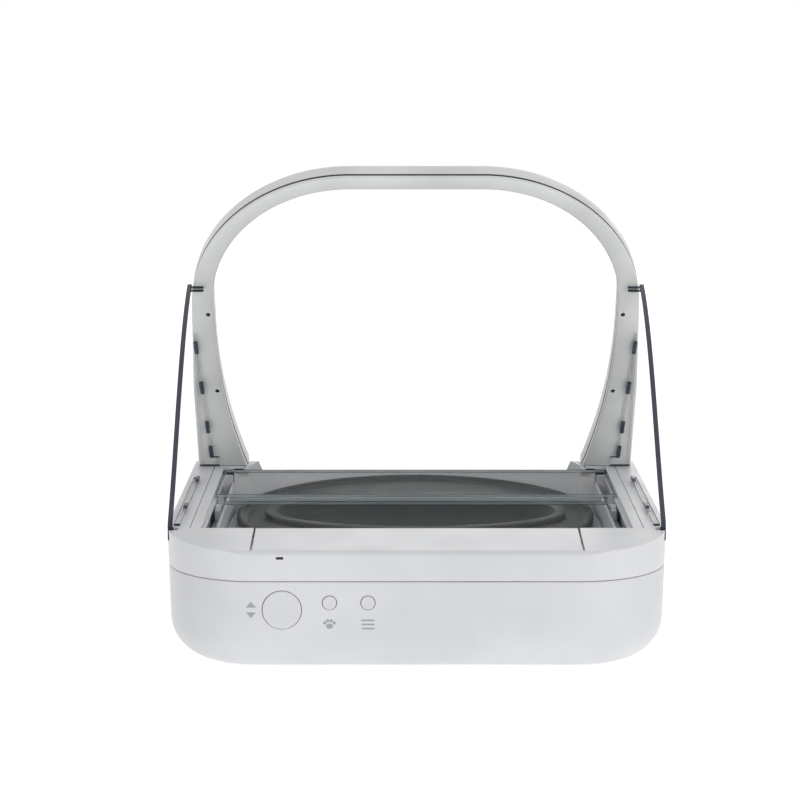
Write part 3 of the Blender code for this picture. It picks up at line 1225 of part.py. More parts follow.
def build_controls():
    switch_rear = BOARD_REAR_Y - SWITCH_SIZE / 2
    plunger_end = switch_rear - SWITCH_PLUNGER_LENGTH
    for name, place, radius in button_list():
        x, z = place
        build_button(name, place, radius, plunger_end - SWITCH_GAP)
        half = SWITCH_SIZE / 2
        label = name.replace("_button", "_switch")
        switch = box(label, (x - half, switch_rear, z - half), (x + half, BOARD_REAR_Y - GAP, z + half),
                     "switch_black")
        plunger = rod(label + "_plunger", "Y", (x, (switch_rear + plunger_end) / 2 + SWITCH_GAP / 2, z),
                      SWITCH_PLUNGER_RADIUS, SWITCH_PLUNGER_LENGTH + SWITCH_GAP, steps=SMALL_CIRCLE_STEPS)
        join(switch, plunger)
    box("main_circuit_board", (BOARD_LEFT_X, BOARD_REAR_Y, BOARD_LOW_Z),
        (BOARD_RIGHT_X, BOARD_REAR_Y + BOARD_THICKNESS, BOARD_HIGH_Z), "circuit_board")
    face = wall_outer_y(LIGHT_Z)
    low_x = LIGHT_X - LIGHT_WIDTH / 2
    high_x = LIGHT_X + LIGHT_WIDTH / 2
    low_z = BOARD_HIGH_Z + GAP
    flange_end = wall_outer_y(BIG_BUTTON_PLACE[1] - BIG_BUTTON_RADIUS) + WALL + GAP + BUTTON_FLANGE_THICKNESS
    leg_rear = flange_end + BUTTON_TRAVEL + GAP
    leg_front = leg_rear + LIGHT_BAR_DEPTH
    pipe = box("status_light_pipe", (low_x, face, LIGHT_Z - LIGHT_HEIGHT / 2),
               (high_x, leg_front, LIGHT_Z + LIGHT_HEIGHT / 2), "dark_window")
    leg = box("light_pipe_leg", (low_x, leg_rear, low_z), (high_x, leg_front, LIGHT_Z))
    toe = box("light_pipe_toe", (low_x, leg_rear + GAP, low_z),
              (high_x, BOARD_REAR_Y + BOARD_THICKNESS, low_z + LIGHT_BAR_DEPTH))
    join(pipe, leg, toe)


def build_battery_bay(label, side):
    x = side * CELL_X
    low, high = door_window(side)
    top = CELL_Z + CELL_RADIUS + CELL_PLAY
    floor = CASE_FLOOR_Z + GAP
    housing = box("battery_housing_" + label, (low[0] - BOX_WALL, low[1] - BOX_WALL, floor),
                  (high[0] + BOX_WALL, high[1] + BOX_WALL, top + BOX_WALL), "tray_abs")
    inside = box("housing_inside_" + label,
                 (x - BOX_INNER_HALF_WIDTH, BATTERY_REAR_Y, floor - CUT_OVERRUN),
                 (x + BOX_INNER_HALF_WIDTH, BATTERY_FRONT_Y, top))
    cut(housing, inside)
    pitch = CELL_LENGTH + CELL_TIP_LENGTH + CELL_PLAY
    for number in range(2):
        start = BATTERY_REAR_Y + CONTACT_THICKNESS + CELL_PLAY + pitch * number
        name = "battery_cell_%s_%d" % (label, number + 1)
        cell = rod(name, "Y", (x, start + CELL_LENGTH / 2, CELL_Z), CELL_RADIUS, CELL_LENGTH, "cell_jacket")
        tip = rod(name + "_tip", "Y", (x, start + CELL_LENGTH, CELL_Z), CELL_TIP_RADIUS, CELL_TIP_LENGTH * 2,
                  steps=SMALL_CIRCLE_STEPS)
        join(cell, tip)
    contact_half = BOX_INNER_HALF_WIDTH - CELL_PLAY * 2
    contact_ys = {"rear": BATTERY_REAR_Y + GAP / 2, "front": BATTERY_FRONT_Y - CONTACT_THICKNESS - GAP / 2}
    for end, y in contact_ys.items():
        box("battery_contact_%s_%s" % (label, end), (x - contact_half, y, CELL_Z - contact_half),
            (x + contact_half, y + CONTACT_THICKNESS, CELL_Z + contact_half), "steel")
    door = box("battery_door_" + label, (low[0] + GAP, low[1] + GAP, FOOT_HEIGHT),
               (high[0] - GAP, high[1] - GAP, FOOT_HEIGHT + DOOR_THICKNESS), "white_abs")
    for number in range(DOOR_GRIP_COUNT):
        y = high[1] - DOOR_GRIP_PITCH * (number + 2)
        groove = box("door_groove_%s_%d" % (label, number),
                     (x - DOOR_GRIP_WIDTH, y, FOOT_HEIGHT - CUT_OVERRUN),
                     (x + DOOR_GRIP_WIDTH, y + DOOR_GRIP_LENGTH, FOOT_HEIGHT + DOOR_GRIP_DEPTH))
        cut(door, groove)


def build_feet_and_screws():
    height = FOOT_HEIGHT - GAP
    for side_x, side_y, label in ((-1, -1, "rear_left"), (1, -1, "rear_right"), (-1, 1, "front_left"),
                                  (1, 1, "front_right")):
        rod("rubber_foot_" + label, "Z", (side_x * RUBBER_FOOT_X, side_y * RUBBER_FOOT_Y, height / 2),
            RUBBER_FOOT_RADIUS, height, "foot_rubber")
    for number, (x, y) in enumerate(screw_places()):
        seat = seam_z(y + SCREW_POST_RADIUS) - GAP - SCREW_SEAT_BELOW_SEAM
        profile = [(0, SCREW_SHANK_LENGTH), (SCREW_SHANK_RADIUS, SCREW_SHANK_LENGTH),
                   (SCREW_SHANK_RADIUS, -GAP), (SCREW_HEAD_RADIUS, -GAP), (SCREW_HEAD_RADIUS, -GAP - SCREW_HEAD_LENGTH),
                   (0, -GAP - SCREW_HEAD_LENGTH)]
        turned("casing_screw_%d" % (number + 1), "Z", (x, y, seat), profile, "steel", SMALL_CIRCLE_STEPS)


def build_feeder():
    clear_scene()
    bpy.context.scene.collection.children.link(parts)
    bpy.context.scene.collection.children.link(cutters)
    add_materials()
    crown = crown_cutter("crown_cutter", 0.0)
    crown_inner = crown_cutter("crown_inner_cutter", TOP_WALL)
    build_lower_casing()
    build_upper_casing(crown, crown_inner)
    build_deck_cover()
    build_arch()
    build_front_leaf()
    build_rear_leaf()
    for label, side in (("left", -1), ("right", 1)):
        build_side_panel(label, side)
        build_rail(label, side)
        build_runner(label, side)
        build_battery_bay(label, side)
    build_drive()
    build_bowl()
    build_mat()
    build_tray(crown)
    build_scale()
    build_controls()
    build_feet_and_screws()


build_feeder()
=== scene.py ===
"""The looks of the microchip pet feeder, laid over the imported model.

Metres, +Z up. The camera stands behind the feeder, on the side of its push buttons, and looks at it
from slightly above.
"""
import json
import math

import bmesh
import bpy
from mathutils import Matrix, Vector


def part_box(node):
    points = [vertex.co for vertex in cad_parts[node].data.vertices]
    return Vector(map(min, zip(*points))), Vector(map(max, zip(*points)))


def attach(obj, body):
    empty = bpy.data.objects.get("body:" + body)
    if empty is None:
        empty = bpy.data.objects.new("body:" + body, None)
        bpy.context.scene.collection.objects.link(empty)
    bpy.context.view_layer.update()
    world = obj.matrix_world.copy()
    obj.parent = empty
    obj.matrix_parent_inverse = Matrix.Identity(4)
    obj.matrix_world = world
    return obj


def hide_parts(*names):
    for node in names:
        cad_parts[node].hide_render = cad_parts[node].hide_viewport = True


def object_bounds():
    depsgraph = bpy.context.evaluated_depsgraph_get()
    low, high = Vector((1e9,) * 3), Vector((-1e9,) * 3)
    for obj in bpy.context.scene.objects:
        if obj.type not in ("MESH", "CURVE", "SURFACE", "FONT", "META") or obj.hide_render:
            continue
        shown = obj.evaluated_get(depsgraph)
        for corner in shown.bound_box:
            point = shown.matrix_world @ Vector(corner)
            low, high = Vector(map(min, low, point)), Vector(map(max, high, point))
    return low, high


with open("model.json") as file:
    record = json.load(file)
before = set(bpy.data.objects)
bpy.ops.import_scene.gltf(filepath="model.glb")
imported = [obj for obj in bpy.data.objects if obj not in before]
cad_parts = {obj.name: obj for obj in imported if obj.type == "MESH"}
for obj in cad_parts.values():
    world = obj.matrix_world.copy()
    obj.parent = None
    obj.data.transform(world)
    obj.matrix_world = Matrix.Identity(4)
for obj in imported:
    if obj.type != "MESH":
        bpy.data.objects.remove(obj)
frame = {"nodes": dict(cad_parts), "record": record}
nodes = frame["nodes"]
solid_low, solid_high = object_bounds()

# Fits and fineness of the surfaces
GAP = 0.0003
CUT_OVERRUN = 0.002
CIRCLE_STEPS = 64
SMALL_CIRCLE_STEPS = 32
SHARP_ANGLE = math.radians(32)
WELD_DISTANCE = 0.000002

# Base casings
BASE_WIDTH = 0.230
BASE_DEPTH = 0.318
CORNER_RADIUS = 0.042
CORNER_STEPS = 20
FRONT_REACH = 0.0009
BOTTOM_FILLET = 0.018
FILLET_STEPS = 10
SIDE_DRAFT = math.radians(1.5)
WALL = 0.0024
TOP_WALL = 0.0022
FOOT_HEIGHT = 0.0022
SEAM_REAR_Z = 0.045
SEAM_FRONT_Z = 0.022
SEAM_EDGE_ROUND = 0.0005
SEAM_EDGE_STEPS = 3
CREASE_Z = 0.0588
CREASE_ROUND = 0.003
CROWN_ROUND_STEPS = 8
DECK_Z = 0.062
DECK_DEPTH = 0.0342
SLOPE_START_BEHIND_ARCH = 0.0004
SLOPE_SHOULDER_Z = 0.056
SLOPE_SHOULDER_FROM_FRONT = 0.119
SLOPE_MID_Z = 0.0445
SLOPE_MID_FROM_FRONT = 0.059
LIP_Z = 0.0345
LIP_FROM_FRONT = 0.010
LIP_ROUND = 0.0075
DECK_COVER_INSET = 0.041
DECK_COVER_HALF_WIDTH = BASE_WIDTH / 2 - DECK_COVER_INSET
DECK_COVER_PLAY = 0.0008
CASING_EDGE_ROUND = 0.0007

# Reader arch
ARCH_LEAN = math.radians(27)
ARCH_FOOT_Y = 0.025
ARCH_HEIGHT = 0.1758
ARCH_FOOT_INSET = 0.0025
ARCH_FOOT_HALF_WIDTH = BASE_WIDTH / 2 - ARCH_FOOT_INSET
ARCH_BULGE = 0.0003
ARCH_BULGE_HALF_WIDTH = ARCH_FOOT_HALF_WIDTH + ARCH_BULGE
ARCH_BULGE_HEIGHT = 0.050
ARCH_SHOULDER_INSET = 0.0015
ARCH_SHOULDER_HALF_WIDTH = ARCH_FOOT_HALF_WIDTH - ARCH_SHOULDER_INSET
ARCH_SHOULDER_HEIGHT = 0.100
ARCH_TOP_FLAT_HALF = 0.032
ARCH_LEG_WIDTH = 0.0125
ARCH_INNER_HALF_WIDTH = ARCH_FOOT_HALF_WIDTH - ARCH_LEG_WIDTH
ARCH_INNER_SHOULDER_HEIGHT = 0.105
ARCH_TOP_BAND = 0.0066
ARCH_FLARE = 0.013
ARCH_FLARE_HEIGHT = 0.088
ARCH_STRAIGHT_STEPS = 14
ARCH_CORNER_STEPS = 36
ARCH_FRONT_DEPTH = 0.009
ARCH_REAR_DEPTH = 0.003
ARCH_EDGE_ROUND = 0.0009
ARCH_EDGE_STEPS = 3
ARCH_SEAM_ROUND = 0.0004
ARCH_GROOVE_WIDTH = 0.0009
ARCH_GROOVE_DEPTH = 0.0013
ARCH_GROOVE_ROUND = 0.0001
ARCH_SHELL_WALL = 0.0016
ARCH_ROOT = 0.012
SENSOR_RADIUS = 0.0008
SENSOR_FROM_INNER_EDGE = 0.003
SENSOR_HEIGHTS = (0.050, 0.097)

# Clear side panels
PANEL_THICKNESS = 0.0024
PANEL_INSET = 0.0009
PANEL_OUTER_HALF_WIDTH = BASE_WIDTH / 2 - PANEL_INSET
PANEL_TOP_HEIGHT_ON_ARCH = 0.1155
PANEL_REAR_FROM_REAR = 0.032
PANEL_EDGE_BULGE = 0.0085
PANEL_EDGE_BULGE_scale = 6.75
PANEL_EDGE_STEPS = 32
PANEL_TOE = 0.003
PANEL_TAPER = 0.0019
PANEL_FOOT_REACH = 0.0043
PANEL_FOOT_THICKNESS = 0.0018
PANEL_LEDGE_Z = 0.0565
PANEL_LEDGE_INSETS = (0.0056, 0.0056)
PANEL_LEDGE_FROM_REAR = (0.0355, 0.0308)
PANEL_LEDGE_RIM = 0.0012
PANEL_LEDGE_FLOOR = 0.0018
PANEL_EDGE_ROUND = 0.00015
CLIP_HEIGHTS_ON_ARCH = (0.0125, 0.0285, 0.0535, 0.0785)
CLIP_LENGTH = 0.007
CLIP_WIDTH = 0.002
CLIP_DEPTH = 0.0012
FLANGE_THICKNESS = 0.0012
FLANGE_SET_BACK = 0.0002
CLIP_SINK = 0.0004
FLANGE_LOW = 0.003
FLANGE_TIP_INSET = 0.0104
FLANGE_SPREAD_share = 0.0818
FLANGE_BAR_HEIGHT = 0.0055
FLANGE_BAR_INSET = 0.0135
TOP_TAB_HEIGHT = 0.002
TOP_TAB_REACH = 0.0065
DECK_FLANGE_INSET = 0.0063
CLIP_ROOT = 0.001
PANEL_FOOT_CLIP_YS = (-0.086, -0.022)
BROAD_FACE_share = 0.015
SQUARE_NORMAL_share = 0.99
RISING_NORMAL_share = 0.5

# Screws, doors and the edges of the small solids
SCREW_INSET = 0.0065
SCREW_X = BASE_WIDTH / 2 - SCREW_INSET
SCREW_YS = (-0.065, 0.075)
SCREW_HEAD_RADIUS = 0.0026
SCREW_SHANK_RADIUS = 0.0014
SCREW_POST_RADIUS = 0.0036
SCREW_SEAT_BELOW_SEAM = 0.004
DOOR_TRAVEL = 0.006
SMALL_EDGE_ROUND = 0.0002
ROUND_EDGE_STEPS = 3
FINE_ROUND_STEPS = 2
EDGE_ROUNDS = {"rear_deck_cover": 0.0005, "lid_front_leaf": 0.0003, "lid_rear_leaf": 0.0003,
               "battery_door_left": 0.0004, "battery_door_right": 0.0004, "gearbox": 0.0008}

# Lid opening
LID_OPENING_INSET = 0.0107
LID_OPENING_HALF_WIDTH = BASE_WIDTH / 2 - LID_OPENING_INSET
RAIL_FLANGE_WIDTH = 0.0051
RAIL_WEB_INSET = 0.0041
REAR_LEAF_INSET = 0.0052
REAR_LEAF_HALF_WIDTH = LID_OPENING_HALF_WIDTH - RAIL_WEB_INSET - REAR_LEAF_INSET
FRONT_LEAF_LENGTH = 0.0626
REAR_LEAF_REAR_Y = -0.126
REAR_LEAF_CORNER = 0.010
LEAF_THICKNESS = 0.0018
LEAF_CORNER = 0.0015
LEAF_CORNER_STEPS = 12
LEAF_EDGE_ROUND = 0.00035
FRONT_LEAF_TOP_Z = 0.0603
LEAF_STEP = 0.0043
LEAF_LIP_THICKNESS = 0.0014
LEAF_LIP_DROP = 0.0018
LEAF_LIP_SET_IN = 0.0001
LEAF_LIP_PLAY = 0.0005
LEAF_LIP_INSET = 0.003

# Bowl, mat and tray
MAT_HALF_WIDTH = 0.090
MAT_HALF_LENGTH = 0.110
MAT_CENTRE_Y = -0.014
MAT_RIM_Z = 0.0465
MAT_TILT_share = 0.035
MAT_THICKNESS = 0.002
MAT_RIM_WIDTH = 0.003
MAT_RIM_HEIGHT = 0.003
MAT_STEPS = 160
BOWL_HALF_WIDTH = 0.076
BOWL_HALF_LENGTH = 0.042
BOWL_CENTRE_Y = -0.018
BOWL_THICKNESS = 0.0018
BOWL_RIM_Z = 0.0472
BOWL_RIM_WIDTH = 0.004
BOWL_RIM_ROUND = 0.0007
BOWL_WALL_SLOPE = 0.0075
BOWL_FLOOR_ROUND = 0.006
BOWL_FLOOR_Z = 0.0192
DISH_ROUND_STEPS = 10
POCKET_PLAY = 0.001
RIM_ROUND_STEPS = 3
TRAY_WALL = 0.0016
TRAY_WALL_PLAY = 0.0018
SHOULDER_INNER_INSET = 0.0285
SHOULDER_OUTER_INSET = 0.0208
SHOULDER_LOW_Z = 0.0365
MAT_ROLL_STEPS = 10
MAT_LIP_ROUND = 0.0006

# Push buttons and the marks printed beside them
BIG_BUTTON_RADIUS = 0.0087
SMALL_BUTTON_RADIUS = 0.0031
BIG_BUTTON_PLACE = (-0.0605, 0.0320)
PET_BUTTON_PLACE = (-0.0392, 0.0353)
FUNCTION_BUTTON_PLACE = (-0.0220, 0.0353)
BUTTON_EDGE_ROUND = 0.0005
HOLE_DEPTH_scale = 3
HOLE_REACH_scale = 4
BUTTON_ROUND_STEPS = 4
BUTTON_HUB_RADIUS = 0.00002
BUTTON_DISH = 0.00025
BUTTON_HOLE_ROUND = 0.0004
BUTTON_FACE_STEPS = 6
BUTTON_FLANGE = 0.0012
BUTTON_FLANGE_THICKNESS = 0.001
BUTTON_STEM_RADIUS = 0.0015
LIGHT_X = -0.0613
LIGHT_Z = 0.0558
LIGHT_WIDTH = 0.0027
LIGHT_HEIGHT = 0.0006
INK_THICKNESS = 0.00004
ARROW_X = -0.0743
ARROW_WIDTH = 0.0046
ARROW_HEIGHT = 0.0027
ARROW_GAP = 0.0011
MARK_Z = 0.0253
PAW_PAD_RADIUS = 0.00155
PAW_TOE_RADIUS = 0.00075
PAW_TOE_REACH = 0.0026
PAW_TOE_ANGLES = (35, 72, 108, 145)
PAW_PAD_SQUASH_share = 0.8
BAR_LENGTH = 0.0058
BAR_HEIGHT = 0.0008
BAR_PITCH = 0.0019

# Sizes worked out from the ones above
REAR_Y = -BASE_DEPTH / 2
FRONT_Y = BASE_DEPTH / 2
DECK_FRONT_Y = REAR_Y + DECK_DEPTH
PANEL_REAR_Y = REAR_Y + PANEL_REAR_FROM_REAR
PANEL_LEDGE_FRONT_Y = REAR_Y + PANEL_LEDGE_FROM_REAR[0]
SEAM_BEND_Y = REAR_Y + CORNER_RADIUS
BLOCK_TOP_Z = DECK_Z + CUT_OVERRUN
ARCH_REAR_FOOT_Y = ARCH_FOOT_Y - ARCH_REAR_DEPTH / math.cos(ARCH_LEAN)
ARCH_FRONT_FOOT_Y = ARCH_FOOT_Y + ARCH_FRONT_DEPTH / math.cos(ARCH_LEAN)
SLOPE_START_Y = ARCH_FRONT_FOOT_Y + SLOPE_START_BEHIND_ARCH
LID_OPENING_FRONT_Y = ARCH_REAR_FOOT_Y - GAP
POCKET_BOTTOM_Z = BOWL_FLOOR_Z - GAP - MAT_THICKNESS
MAT_UNDERSIDE_Z = MAT_RIM_Z - MAT_RIM_HEIGHT - MAT_THICKNESS

# The camera, found from the photograph's perspective
CAMERA_PLACE = (-0.0077, -1.159, 0.2953)
CAMERA_TILT = math.radians(80.46)
CAMERA_LENS = 103.86
SENSOR_WIDTH = 36.0

# Stage and light
FLOOR_HALF_SIZE = 3.0
FLOOR_GLOW = 0.56
FLOOR_BOUNCE = 0.31
AMBIENT_LIGHT = 0.54
SOFT_BOXES = (("overhead_softbox", (0.1, 0.1, 1.5), 1.4, 1.3),
              ("right_rear_softbox", (1.0, -1.5, 0.35), 1.0, 7.0),
              ("left_rear_softbox", (-1.1, -1.4, 0.35), 1.0, 1.9),
              ("front_softbox", (0.3, 1.4, 0.7), 1.0, 3.0))

# Real sizes of each surface's grain, in metres. The spark grain of moulded plastic is near 0.05 mm and
# too fine to show, so it is drawn about ten times as coarse, and the lathe's lines about six times.
SPARK_GRAIN = 0.0006
SPARK_DEPTH = 0.000012
RUBBER_GRAIN = 0.0008
RUBBER_DEPTH = 0.00003
MOULD_FLOW = 0.045
FINE_FLOW = 0.015
SMUDGE = 0.03
FINE_SMUDGE = 0.015
TARNISH = 0.01
EDGE_RIPPLE = 0.0024
LATHE_LINE = 0.0031416
LATHE_DEPTH = 0.000015
TRACK_PITCH = 0.012
TRACK_WIDTH_share = 0.04
TRACK_DEPTH = 0.000024
JACKET_BAND = 0.07854
JACKET_GRAIN = 0.0018
WAVE_RADIANS = 20

# How each surface answers light
PLASTIC_INDEX = 1.54
POLYCARBONATE_INDEX = 1.585
LACQUER_INDEX = 1.5
INK_INDEX = 1.45
PLASTIC_GLOSS_share = 0.5
MATT_GLOSS_share = 0.18
CUT_EDGE_GLOSS_share = 0.2
CLEAR_ROUGHNESS = 0.03
CLEAR_ROUGHNESS_scale = 2.5
CUT_EDGE_ROUGHNESS = (0.12, 0.25)
LACQUER_ROUGHNESS = 0.28
JACKET_ROUGHNESS = 0.25
JACKET_METAL_share = 0.35
INK_ROUGHNESS = 0.6
TARNISH_share = 0.35
TARNISH_ROUGHNESS = 0.12
LINE_WAVER = 1.5
LINE_DETAIL = 3.0
GRAIN_share = 0.6
GRAZING_BLEND = 0.35
GRAZING_FROM = 0.15
CLOUD_DETAIL = 2.0
CLOUD_ROUGHNESS = 0.5
CLOUD_LOW = 0.35
CLOUD_HIGH = 0.65

# The sRGB curve, from which a written colour is turned into plain light
SRGB_TOE_END = 0.04045
SRGB_TOE_SLOPE = 12.92
SRGB_OFFSET = 0.055
SRGB_POWER = 2.4

# Colours as they look under plain light, sRGB
POLYCARBONATE_TINT = "b7c0cc"
POLYCARBONATE_HAZE = "c6ced7"
TARNISH_GREY = "6f7274"
LACQUER_GREEN = "1f5a38"
TRACK_GREEN = "2f7a4c"
JACKET_BLUE = "3c4a5a"
JACKET_SHADE = "2c3846"
INK_GREY = "a3a6ab"
INK_THIN = "aeb1b6"
FLOOR_WHITE = "f2f2f2"
WHITE_LIGHT = (1, 1, 1, 1)

# Moulded surfaces: grain, its depth, and gloss
SPARKED = (SPARK_GRAIN, SPARK_DEPTH, PLASTIC_GLOSS_share)
DEEP_SPARKED = (SPARK_GRAIN, RUBBER_DEPTH, PLASTIC_GLOSS_share)
MATT_SPARKED = (SPARK_GRAIN, SPARK_DEPTH, MATT_GLOSS_share)
RUBBERY = (RUBBER_GRAIN, RUBBER_DEPTH, PLASTIC_GLOSS_share)
MATT_RUBBERY = (RUBBER_GRAIN, RUBBER_DEPTH, MATT_GLOSS_share)

# Moulded finishes: slot, material, colour, shade, smoothest place, roughest place, surface.
# The seam's dark colour is painted shade. It stands for the deep gap between the two arch shells, which
# hardly any light reaches.
MOULDED_FINISHES = (
    ("white_abs", "satin_white_abs", "e3e4e6", "dcdddf", 0.33, 0.42, SPARKED),
    ("white_button", "satin_button_abs", "dfe0e4", "dcdddf", 0.28, 0.36, SPARKED),
    ("arch_abs", "satin_arch_abs", "e6e8e7", "d6d8d7", 0.28, 0.38, SPARKED),
    ("seam_shade", "abs_deep_in_a_seam", "4c4e50", "4c4e50", 0.5, 0.6, SPARKED),
    ("tray_abs", "grained_grey_abs", "a4a9ae", "9a9fa5", 0.42, 0.55, DEEP_SPARKED),
    ("mat_rubber", "moulded_rubber", "313433", "2c2f2e", 0.6, 0.72, MATT_RUBBERY),
    ("bowl_plastic", "satin_dark_polypropylene", "3a3d3c", "353837", 0.55, 0.68, MATT_SPARKED),
    ("dark_window", "smoked_acrylic", "1c1d20", "25262a", 0.08, 0.16, SPARKED),
    ("acetal", "natural_acetal", "c8cacc", "bfc2c4", 0.3, 0.42, SPARKED),
    ("belt_rubber", "belt_neoprene", "8f9498", "858a8e", 0.5, 0.65, RUBBERY),
    ("gearbox_nylon", "glass_filled_nylon", "3a3c3f", "333538", 0.45, 0.6, SPARKED),
    ("switch_black", "black_nylon", "202124", "2a2b2f", 0.35, 0.5, SPARKED),
    ("foot_rubber", "foot_rubber", "8a8c8e", "7f8183", 0.6, 0.75, RUBBERY))

# Metal finishes: slot, material, colour, roughness, and the axis that its lines cross
METAL_FINISHES = (
    ("steel", "drawn_steel", "a8abad", 0.24, "X"),
    ("load_cell_aluminium", "milled_aluminium", "b9bcbf", 0.3, "X"),
    ("enamelled_copper", "enamelled_copper", "9a4f24", 0.3, "Z"))

# Clear sheets: slot, material, and how much they veil seen square on and at a flat angle
SHEET_FINISHES = (
    ("clear_polycarbonate", "clear_polycarbonate", 0.01, 0.03),
    ("panel_sheet", "clear_panel_sheet", 0.012, 0.05))

# Cut edges of clear sheets, painted with the light and shade that light running inside a sheet gives them:
# slot, material, colour, shade, and how much they cover
EDGE_FINISHES = (
    # The panel's cut edges and its clear clips: painted shade, deep navy.
    ("panel_cut_edge", "polished_panel_edge", "1f2538", "262d41", 0.97),
    ("panel_clip", "moulded_panel_clip", "363d52", "3d4459", 0.72),
    # The lid leaves' cut edges: painted highlight, pale. Their rounded corners: painted shade, as fine dark
    # lines.
    ("leaf_cut_edge", "polished_leaf_edge", "b4bdc2", "a9b2b8", 0.72),
    ("leaf_corner", "leaf_corner_line", "545d66", "5c656d", 0.8))
FIRST_FINISH, SECOND_FINISH, THIRD_FINISH = range(3)


def linear(channel):
    if channel <= SRGB_TOE_END:
        return channel / SRGB_TOE_SLOPE
    return ((channel + SRGB_OFFSET) / (1 + SRGB_OFFSET)) ** SRGB_POWER


def colour(hex_text):
    """A linear colour from the sRGB hex text it is written in."""
    return [linear(int(hex_text[place:place + 2], 16) / 255) for place in (0, 2, 4)] + [1.0]


def add_node(tree, kind, settings=None, values=None, links=None):
    """Adds one shader node with its own settings, its sockets' values and the sockets that feed it."""
    node = tree.nodes.new(kind)
    for name, value in (settings or {}).items():
        setattr(node, name, value)
    for socket, value in (values or {}).items():
        node.inputs[socket].default_value = value
    for socket, source in (links or {}).items():
        tree.links.new(source, node.inputs[socket])
    return node


def new_material(name, **values):
    """An empty material with one Principled shader, its constant values set on the shader itself."""
    material = bpy.data.materials.new(name)
    material.use_nodes = True
    shader = material.node_tree.nodes["Principled BSDF"]
    for socket, value in values.items():
        shader.inputs[socket.replace("_", " ")].default_value = value
    return material, material.node_tree, shader


def place_on(tree):
    """Places the pattern by the piece's own coordinates, in metres."""
    return add_node(tree, "ShaderNodeTexCoord").outputs["Object"]


def cloud(tree, size):
    """Soft irregular noise whose patches are about one size across."""
    values = {"Scale": 1 / size, "Detail": CLOUD_DETAIL, "Roughness": CLOUD_ROUGHNESS}
    noise = add_node(tree, "ShaderNodeTexNoise", values=values, links={"Vector": place_on(tree)})
    return noise.outputs["Fac"]


def waves(tree, size, axis, **values):
    """Parallel waves, whose crests are one size apart, across one axis."""
    values["Scale"] = math.tau / (WAVE_RADIANS * size)
    return add_node(tree, "ShaderNodeTexWave", settings={"bands_direction": axis}, values=values,
                    links={"Vector": place_on(tree)}).outputs["Fac"]


def between(tree, factor, low, high, from_low=CLOUD_LOW, from_high=CLOUD_HIGH):
    """Turns a pattern's factor into a number between two limits."""
    values = {"From Min": from_low, "From Max": from_high, "To Min": low, "To Max": high}
    return add_node(tree, "ShaderNodeMapRange", values=values, links={"Value": factor}).outputs["Result"]


def mixed_colour(tree, factor, first_hex, second_hex):
    mix = add_node(tree, "ShaderNodeMix", settings={"data_type": "RGBA"}, links={"Factor": factor})
    for socket in mix.inputs:
        if socket.type == "RGBA" and socket.name == "A":
            socket.default_value = colour(first_hex)
        if socket.type == "RGBA" and socket.name == "B":
            socket.default_value = colour(second_hex)
    return next(socket for socket in mix.outputs if socket.type == "RGBA")


def raise_grain(tree, shader, height, depth):
    bump = add_node(tree, "ShaderNodeBump", values={"Distance": depth, "Strength": GRAIN_share},
                    links={"Height": height})
    tree.links.new(bump.outputs["Normal"], shader.inputs["Normal"])


def moulded_plastic(name, main_hex, shade_hex, smooth, rough, surface):
    """Injection-moulded plastic: a fine spark-eroded grain, and a faint cloud where the melt flowed."""
    grain, depth, gloss = surface
    material, tree, shader = new_material(name, IOR=PLASTIC_INDEX, Metallic=0.0, Specular_IOR_Level=gloss)
    flow = between(tree, cloud(tree, MOULD_FLOW), 0.0, 1.0)
    tree.links.new(mixed_colour(tree, flow, main_hex, shade_hex), shader.inputs["Base Color"])
    tree.links.new(between(tree, cloud(tree, FINE_FLOW), smooth, rough), shader.inputs["Roughness"])
    raise_grain(tree, shader, cloud(tree, grain), depth)
    return material


def turned_metal(name, main_hex, roughness, axis):
    """Metal turned or drawn: fine parallel lines round or along one axis, and a little tarnish."""
    material, tree, shader = new_material(name, Metallic=1.0)
    lines = waves(tree, LATHE_LINE, axis, Distortion=LINE_WAVER, Detail=LINE_DETAIL)
    tarnish = between(tree, cloud(tree, TARNISH), 0.0, TARNISH_share)
    tree.links.new(mixed_colour(tree, tarnish, main_hex, TARNISH_GREY), shader.inputs["Base Color"])
    rough = between(tree, lines, roughness, roughness + TARNISH_ROUGHNESS, 0.0, 1.0)
    tree.links.new(rough, shader.inputs["Roughness"])
    raise_grain(tree, shader, lines, LATHE_DEPTH)
    return material


def clear_sheet(name, face_alpha, grazing_alpha):
    """Clear polycarbonate sheet: it tints what is behind it, more at a flat angle, and its gloss shows."""
    material, tree, shader = new_material(name, IOR=POLYCARBONATE_INDEX, Metallic=0.0)
    facing = add_node(tree, "ShaderNodeLayerWeight", values={"Blend": GRAZING_BLEND}).outputs["Facing"]
    veil = between(tree, facing, face_alpha, grazing_alpha, GRAZING_FROM, 1.0)
    tree.links.new(veil, shader.inputs["Alpha"])
    haze = between(tree, cloud(tree, SMUDGE), 0.0, 1.0)
    tint = mixed_colour(tree, haze, POLYCARBONATE_TINT, POLYCARBONATE_HAZE)
    tree.links.new(tint, shader.inputs["Base Color"])
    roughest = CLEAR_ROUGHNESS * CLEAR_ROUGHNESS_scale
    rough = between(tree, cloud(tree, FINE_SMUDGE), CLEAR_ROUGHNESS, roughest)
    tree.links.new(rough, shader.inputs["Roughness"])
    material.surface_render_method = "BLENDED"
    return material


